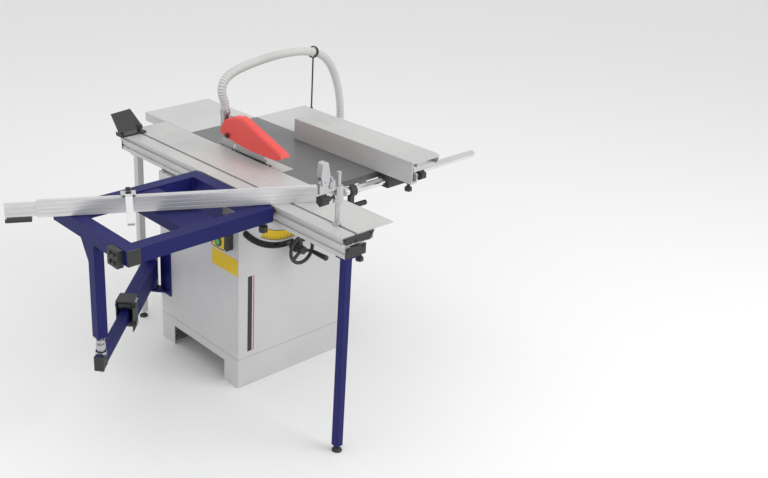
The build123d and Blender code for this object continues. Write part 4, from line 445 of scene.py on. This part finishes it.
# ---------------------------------------------------------------- cabinet front
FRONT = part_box("cabinet_front")[0][1]
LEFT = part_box("cabinet_sides")[0][0]
TILT_AXIS = (-.020, .850)


def on_front(x, z, depth):
    return Vector((x, FRONT - depth, z))


SCALE_INNER, SCALE_OUTER = .222, .262
SCALE_START, SCALE_END = -81, -122
ZERO_MARK = -83
MARK_SPREAD = 37           # degrees of arc that stand for the whole tilt
TILT_RANGE = 45
RIM = .0018

mesh = bmesh.new()
scale_outline = arc(TILT_AXIS, SCALE_INNER, SCALE_START, SCALE_END)
scale_outline += arc(TILT_AXIS, SCALE_OUTER, SCALE_END, SCALE_START)
add_sheet_ring(mesh, scale_outline, 0.0002, 0.0014, on_front)
for degree in range(TILT_RANGE + 1):
    angle = ZERO_MARK - degree * MARK_SPREAD / TILT_RANGE
    inner = .252 if degree % 5 else .243
    half = 0.10 if degree % 5 else 0.16
    mark = arc(TILT_AXIS, inner, angle - half, angle + half, 1)
    mark += arc(TILT_AXIS, .2605, angle + half, angle - half, 1)
    add_sheet_ring(mesh, mark, 0.0013, 0.0016, on_front, finish=1)
for radius in (SCALE_INNER + .0005, SCALE_OUTER - .0020):
    rim = arc(TILT_AXIS, radius, SCALE_START, SCALE_END)
    rim += arc(TILT_AXIS, radius + RIM, SCALE_END, SCALE_START)
    add_sheet_ring(mesh, rim, 0.0012, 0.0017, on_front, finish=1)
piece("tilt_scale", mesh, [YELLOW, INK], "frame", smooth=False)

SLOT_MIDDLE, SLOT_HALF = .283, .010
SLOT_START, SLOT_END = -86.5, -138.5
slot_edge = arc(TILT_AXIS, SLOT_MIDDLE + SLOT_HALF, SLOT_START, SLOT_END, 40)
end_centre = arc(TILT_AXIS, SLOT_MIDDLE, SLOT_END, SLOT_END, 1)[0]
slot_edge += arc(end_centre, SLOT_HALF, SLOT_END, SLOT_END - 180, 12)[1:-1]
slot_edge += arc(TILT_AXIS, SLOT_MIDDLE - SLOT_HALF, SLOT_END, SLOT_START, 40)
end_centre = arc(TILT_AXIS, SLOT_MIDDLE, SLOT_START, SLOT_START, 1)[0]
slot_edge += arc(end_centre, SLOT_HALF, SLOT_START + 180, SLOT_START, 12)[1:-1]
tube("slot_edging", [on_front(x, z, 0.0005) for x, z in slot_edge], 0.0026, FINISHES["belt_rubber"],
     "frame", closed=True)

FILM_OUT, FILM_IN = .0006, .0001
FILM_BEVEL = .0002


def add_stripe(mesh, left, right, low, high, finish):
    """Adds an upright stripe of film on the cabinet's front."""
    add_block(mesh, (left, FRONT - FILM_OUT, low), (right, FRONT + FILM_IN, high), FILM_BEVEL, finish)


mesh = bmesh.new()
add_stripe(mesh, -.191, -.187, .152, .478, 0)
add_stripe(mesh, -.218, -.197, .152, .478, 1)
piece("front_stripes", mesh, [RED_FILM, INK], "frame")

mesh = bmesh.new()
add_block(mesh, (LEFT - FILM_OUT, -.261, .490), (LEFT + FILM_IN, -.097, .558), FILM_BEVEL, 0)
piece("side_plate", mesh, [YELLOW], "frame")

# ---------------------------------------------------------------- switch
switch_low, switch_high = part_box("switch_box")
SWITCH_FACE = switch_low[0]
mesh = bmesh.new()
add_block(mesh, (SWITCH_FACE - .0012, switch_low[1] + .011, switch_low[2] + .006),
          (SWITCH_FACE + .0001, switch_high[1] - .011, switch_high[2] - .008), 0.0005, 0)
for node, finish in (("stop_button", "red_button"), ("start_button", "green_button")):
    low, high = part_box(node)
    centre = (SWITCH_FACE - .0010, (low[1] + high[1]) / 2, (low[2] + high[2]) / 2)
    add_turned(mesh, ((.0205, 0), (.0205, .0030), (.0190, .0045), (.0158, .0045), (.0156, .0005)),
               centre, (-1, 0, 0), 40, 1)
piece("switch_plate", mesh, [YELLOW, FINISHES["black_plastic"]], "frame")
screws("switch_screws",
       [(SWITCH_FACE, y, z) for y in (switch_low[1] + .006, switch_high[1] - .006)
        for z in (switch_low[2] + .006, switch_high[2] - .006)], (-1, 0, 0), .0026, "frame")

# ---------------------------------------------------------------- swing arm
PIVOT = Vector((-.303, .278, 0))
PIN = Vector((-.858, -.241, 0))
ARM_WAY = (PIN - PIVOT).normalized()
ARM_SIDE = Vector((-ARM_WAY.y, ARM_WAY.x, 0))
ARM_FRAME = Matrix((
    (ARM_WAY.x, ARM_SIDE.x, 0, PIVOT.x),
    (ARM_WAY.y, ARM_SIDE.y, 0, PIVOT.y),
    (0, 0, 1, 0),
    (0, 0, 0, 1)))

mesh = bmesh.new()
for side in (-1, 1):
    add_block(mesh, (.742, min(side * .0152, side * .0172), .3125),
              (.7938, max(side * .0152, side * .0172), .3635), 0.0006, 0, ARM_FRAME)
add_block(mesh, (.7938, -.0175, .3095), (.7952, .0175, .3665), 0.0005, 0, ARM_FRAME)
piece("arm_end_cap", mesh, [FINISHES["black_plastic"]], "arm_inner")

mesh = bmesh.new()
pin_at = (PIN.x, PIN.y, .3620)
add_turned(mesh, ((.0202, .0118), (.0205, .0121), (.0205, .0002), (.0202, 0)), pin_at, (0, 0, 1), 40)
add_turned(mesh, ((.0092, -.0010), (.0095, -.0240), (.0084, -.0245)), (PIN.x, PIN.y, .3140),
           (0, 0, 1), 32)
piece("arm_end_washers", mesh, [FINISHES["steel"]], "arm_inner")

CHEEK = .034
for name, side in (("bracket_screws_front", -1), ("bracket_screws_rear", 1)):
    screws(name, [ARM_FRAME @ Vector((along, side * CHEEK, z)) for along in (.386, .404)
                  for z in (.288, .388)], ARM_SIDE * side, .0042, "swing_arm")

# ---------------------------------------------------------------- outrigger
def weld(name, start, end, body, finish, radius=.0028):
    """A rippled weld bead between two points."""
    start, end = Vector(start), Vector(end)
    count = max(int((end - start).length / .0012), 4)
    points = [start.lerp(end, step / count) for step in range(count + 1)]
    return tube(name, points, lambda here: radius * (0.82 + 0.18 * math.cos(here * 2.1)), finish,
                body)


NAVY = FINISHES["navy_paint"]
corners = {"weld_front_left": (-.828, -.422), "weld_rear_left": (-.828, -.060),
           "weld_front_right": (-.323, -.422), "weld_rear_right": (-.323, -.060)}
for name, (x, y) in corners.items():
    weld(name, (x, y, .7955), (x, y, .8465), "carriage", NAVY)
for name, x, y in (("weld_channel_a", -.625, -.422), ("weld_channel_b", -.485, -.422),
                   ("weld_channel_c", -.625, -.060), ("weld_channel_d", -.485, -.060)):
    weld(name, (x, y, .7955), (x, y, .8300), "carriage", NAVY, .0022)

# ---------------------------------------------------------------- crosscut fence scale
FENCE_AT = Vector((-.122, -.530, 0))
FENCE_WAY = Vector((math.cos(math.radians(FENCE_TURN)), math.sin(math.radians(FENCE_TURN)), 0))
FENCE_REAR = Vector((-FENCE_WAY.y, FENCE_WAY.x, 0))
FENCE_FRAME = Matrix((
    (FENCE_WAY.x, FENCE_REAR.x, 0, FENCE_AT.x),
    (FENCE_WAY.y, FENCE_REAR.y, 0, FENCE_AT.y),
    (0, 0, 1, 0),
    (0, 0, 0, 1)))
FENCE_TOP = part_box("crosscut_fence")[1][2]
mesh = bmesh.new()


def on_fence_top(along, across, height):
    return FENCE_FRAME @ Vector((along, across, FENCE_TOP + height))


add_sheet_ring(mesh, ((-.970, .0035), (-.010, .0035), (-.010, .0125), (-.970, .0125)), 0.00005,
               0.0004, on_fence_top, 0)
for step in range(1, 95):
    along = -.010 - step * .010
    reach = .0110 if step % 10 == 0 else (.0085 if step % 5 == 0 else .0065)
    add_sheet_ring(mesh, ((along - .0004, .0040), (along + .0004, .0040), (along + .0004, reach),
                          (along - .0004, reach)), 0.0003, 0.0005, on_fence_top, 1)
piece("fence_scale", mesh, [FINISHES["chrome"], INK], "crosscut_fence", smooth=False)

STOP_ALONG = -.662
mesh = bmesh.new()
add_block(mesh, (STOP_ALONG - .0096, -.0008, FENCE_TOP + .0126),
          (STOP_ALONG + .0096, .0358, FENCE_TOP + .0246), 0.0012, 0, FENCE_FRAME)
clamp_at = FENCE_FRAME @ Vector((STOP_ALONG, .017, FENCE_TOP + .0244))
add_turned(mesh, ((.0060, 0), (.0082, .0012), (.0086, .0045), (.0074, .0060), (.0030, .0063)),
           clamp_at, (0, 0, 1), 14)
piece("stop_clamp", mesh, [FINISHES["black_plastic"]], "flip_stop", smooth=False)
screws("stop_screws", [FENCE_FRAME @ Vector((STOP_ALONG + step, -.0170, FENCE_TOP + .0120))
                       for step in (-.0178, .0178)], -FENCE_REAR, .0024, "flip_stop", "black_metal")

mesh = bmesh.new()
add_block(mesh, (-1.0835, -.0006, .8355), (-.9925, .0286, .8482), 0.0008, 0, FENCE_FRAME)
piece("extension_pad", mesh, [FINISHES["black_metal"]], "fence_extension")

# ---------------------------------------------------------------- guard
guard_low, guard_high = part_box("blade_guard")
mesh = bmesh.new()
for side, wall in ((-1, guard_low[0]), (1, guard_high[0])):
    add_turned(mesh, ((.0075, 0), (.0075, .0015), (.0100, .0022), (.0108, .0040), (.0108, .0085),
                      (.0094, .0102), (.0030, .0106)), (wall, .094, .913), (side, 0, 0), 16)
piece("guard_knobs", mesh, [FINISHES["black_plastic"]], "blade_guard", smooth=False)

# ---------------------------------------------------------------- floor and light
floor_mesh = bmesh.new()
bmesh.ops.create_grid(floor_mesh, x_segments=4, y_segments=4, size=30)
floor_data = bpy.data.meshes.new("floor")
floor_mesh.to_mesh(floor_data)
floor_mesh.free()
floor = bpy.data.objects.new("floor", floor_data)
bpy.context.scene.collection.objects.link(floor)
floor_finish = material("studio_floor", (0.93, 0.93, 0.93), (0.925, 0.925, 0.925), 0.9,
                        grain=(900, 900, 900), relief=0.0, patch=0.5)
floor_data.materials.append(floor_finish)
floor.location.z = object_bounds()[0].z - 0.0002

world = bpy.data.worlds.new("studio")
world.use_nodes = True
world.node_tree.nodes["Background"].inputs["Color"].default_value = (1, 1, 1, 1)
world.node_tree.nodes["Background"].inputs["Strength"].default_value = 0.80
bpy.context.scene.world = world


def area_light(name, at, aim, size, power):
    data = bpy.data.lights.new(name, "AREA")
    data.shape = "SQUARE"
    data.size = size
    data.energy = power
    made = bpy.data.objects.new(name, data)
    bpy.context.scene.collection.objects.link(made)
    made.location = at
    made.rotation_mode = "QUATERNION"
    made.rotation_quaternion = (Vector(aim) - Vector(at)).to_track_quat("-Z", "Y")


MIDDLE = (-.1, 0, .6)
area_light("key", (1.6, -3.6, 3.4), MIDDLE, 2.6, 66)
area_light("fill", (-4.0, -1.0, 2.6), MIDDLE, 3.0, 18)
area_light("top", (0.0, 0.6, 4.2), MIDDLE, 3.4, 22)
bpy.context.scene.view_settings.view_transform = "Standard"
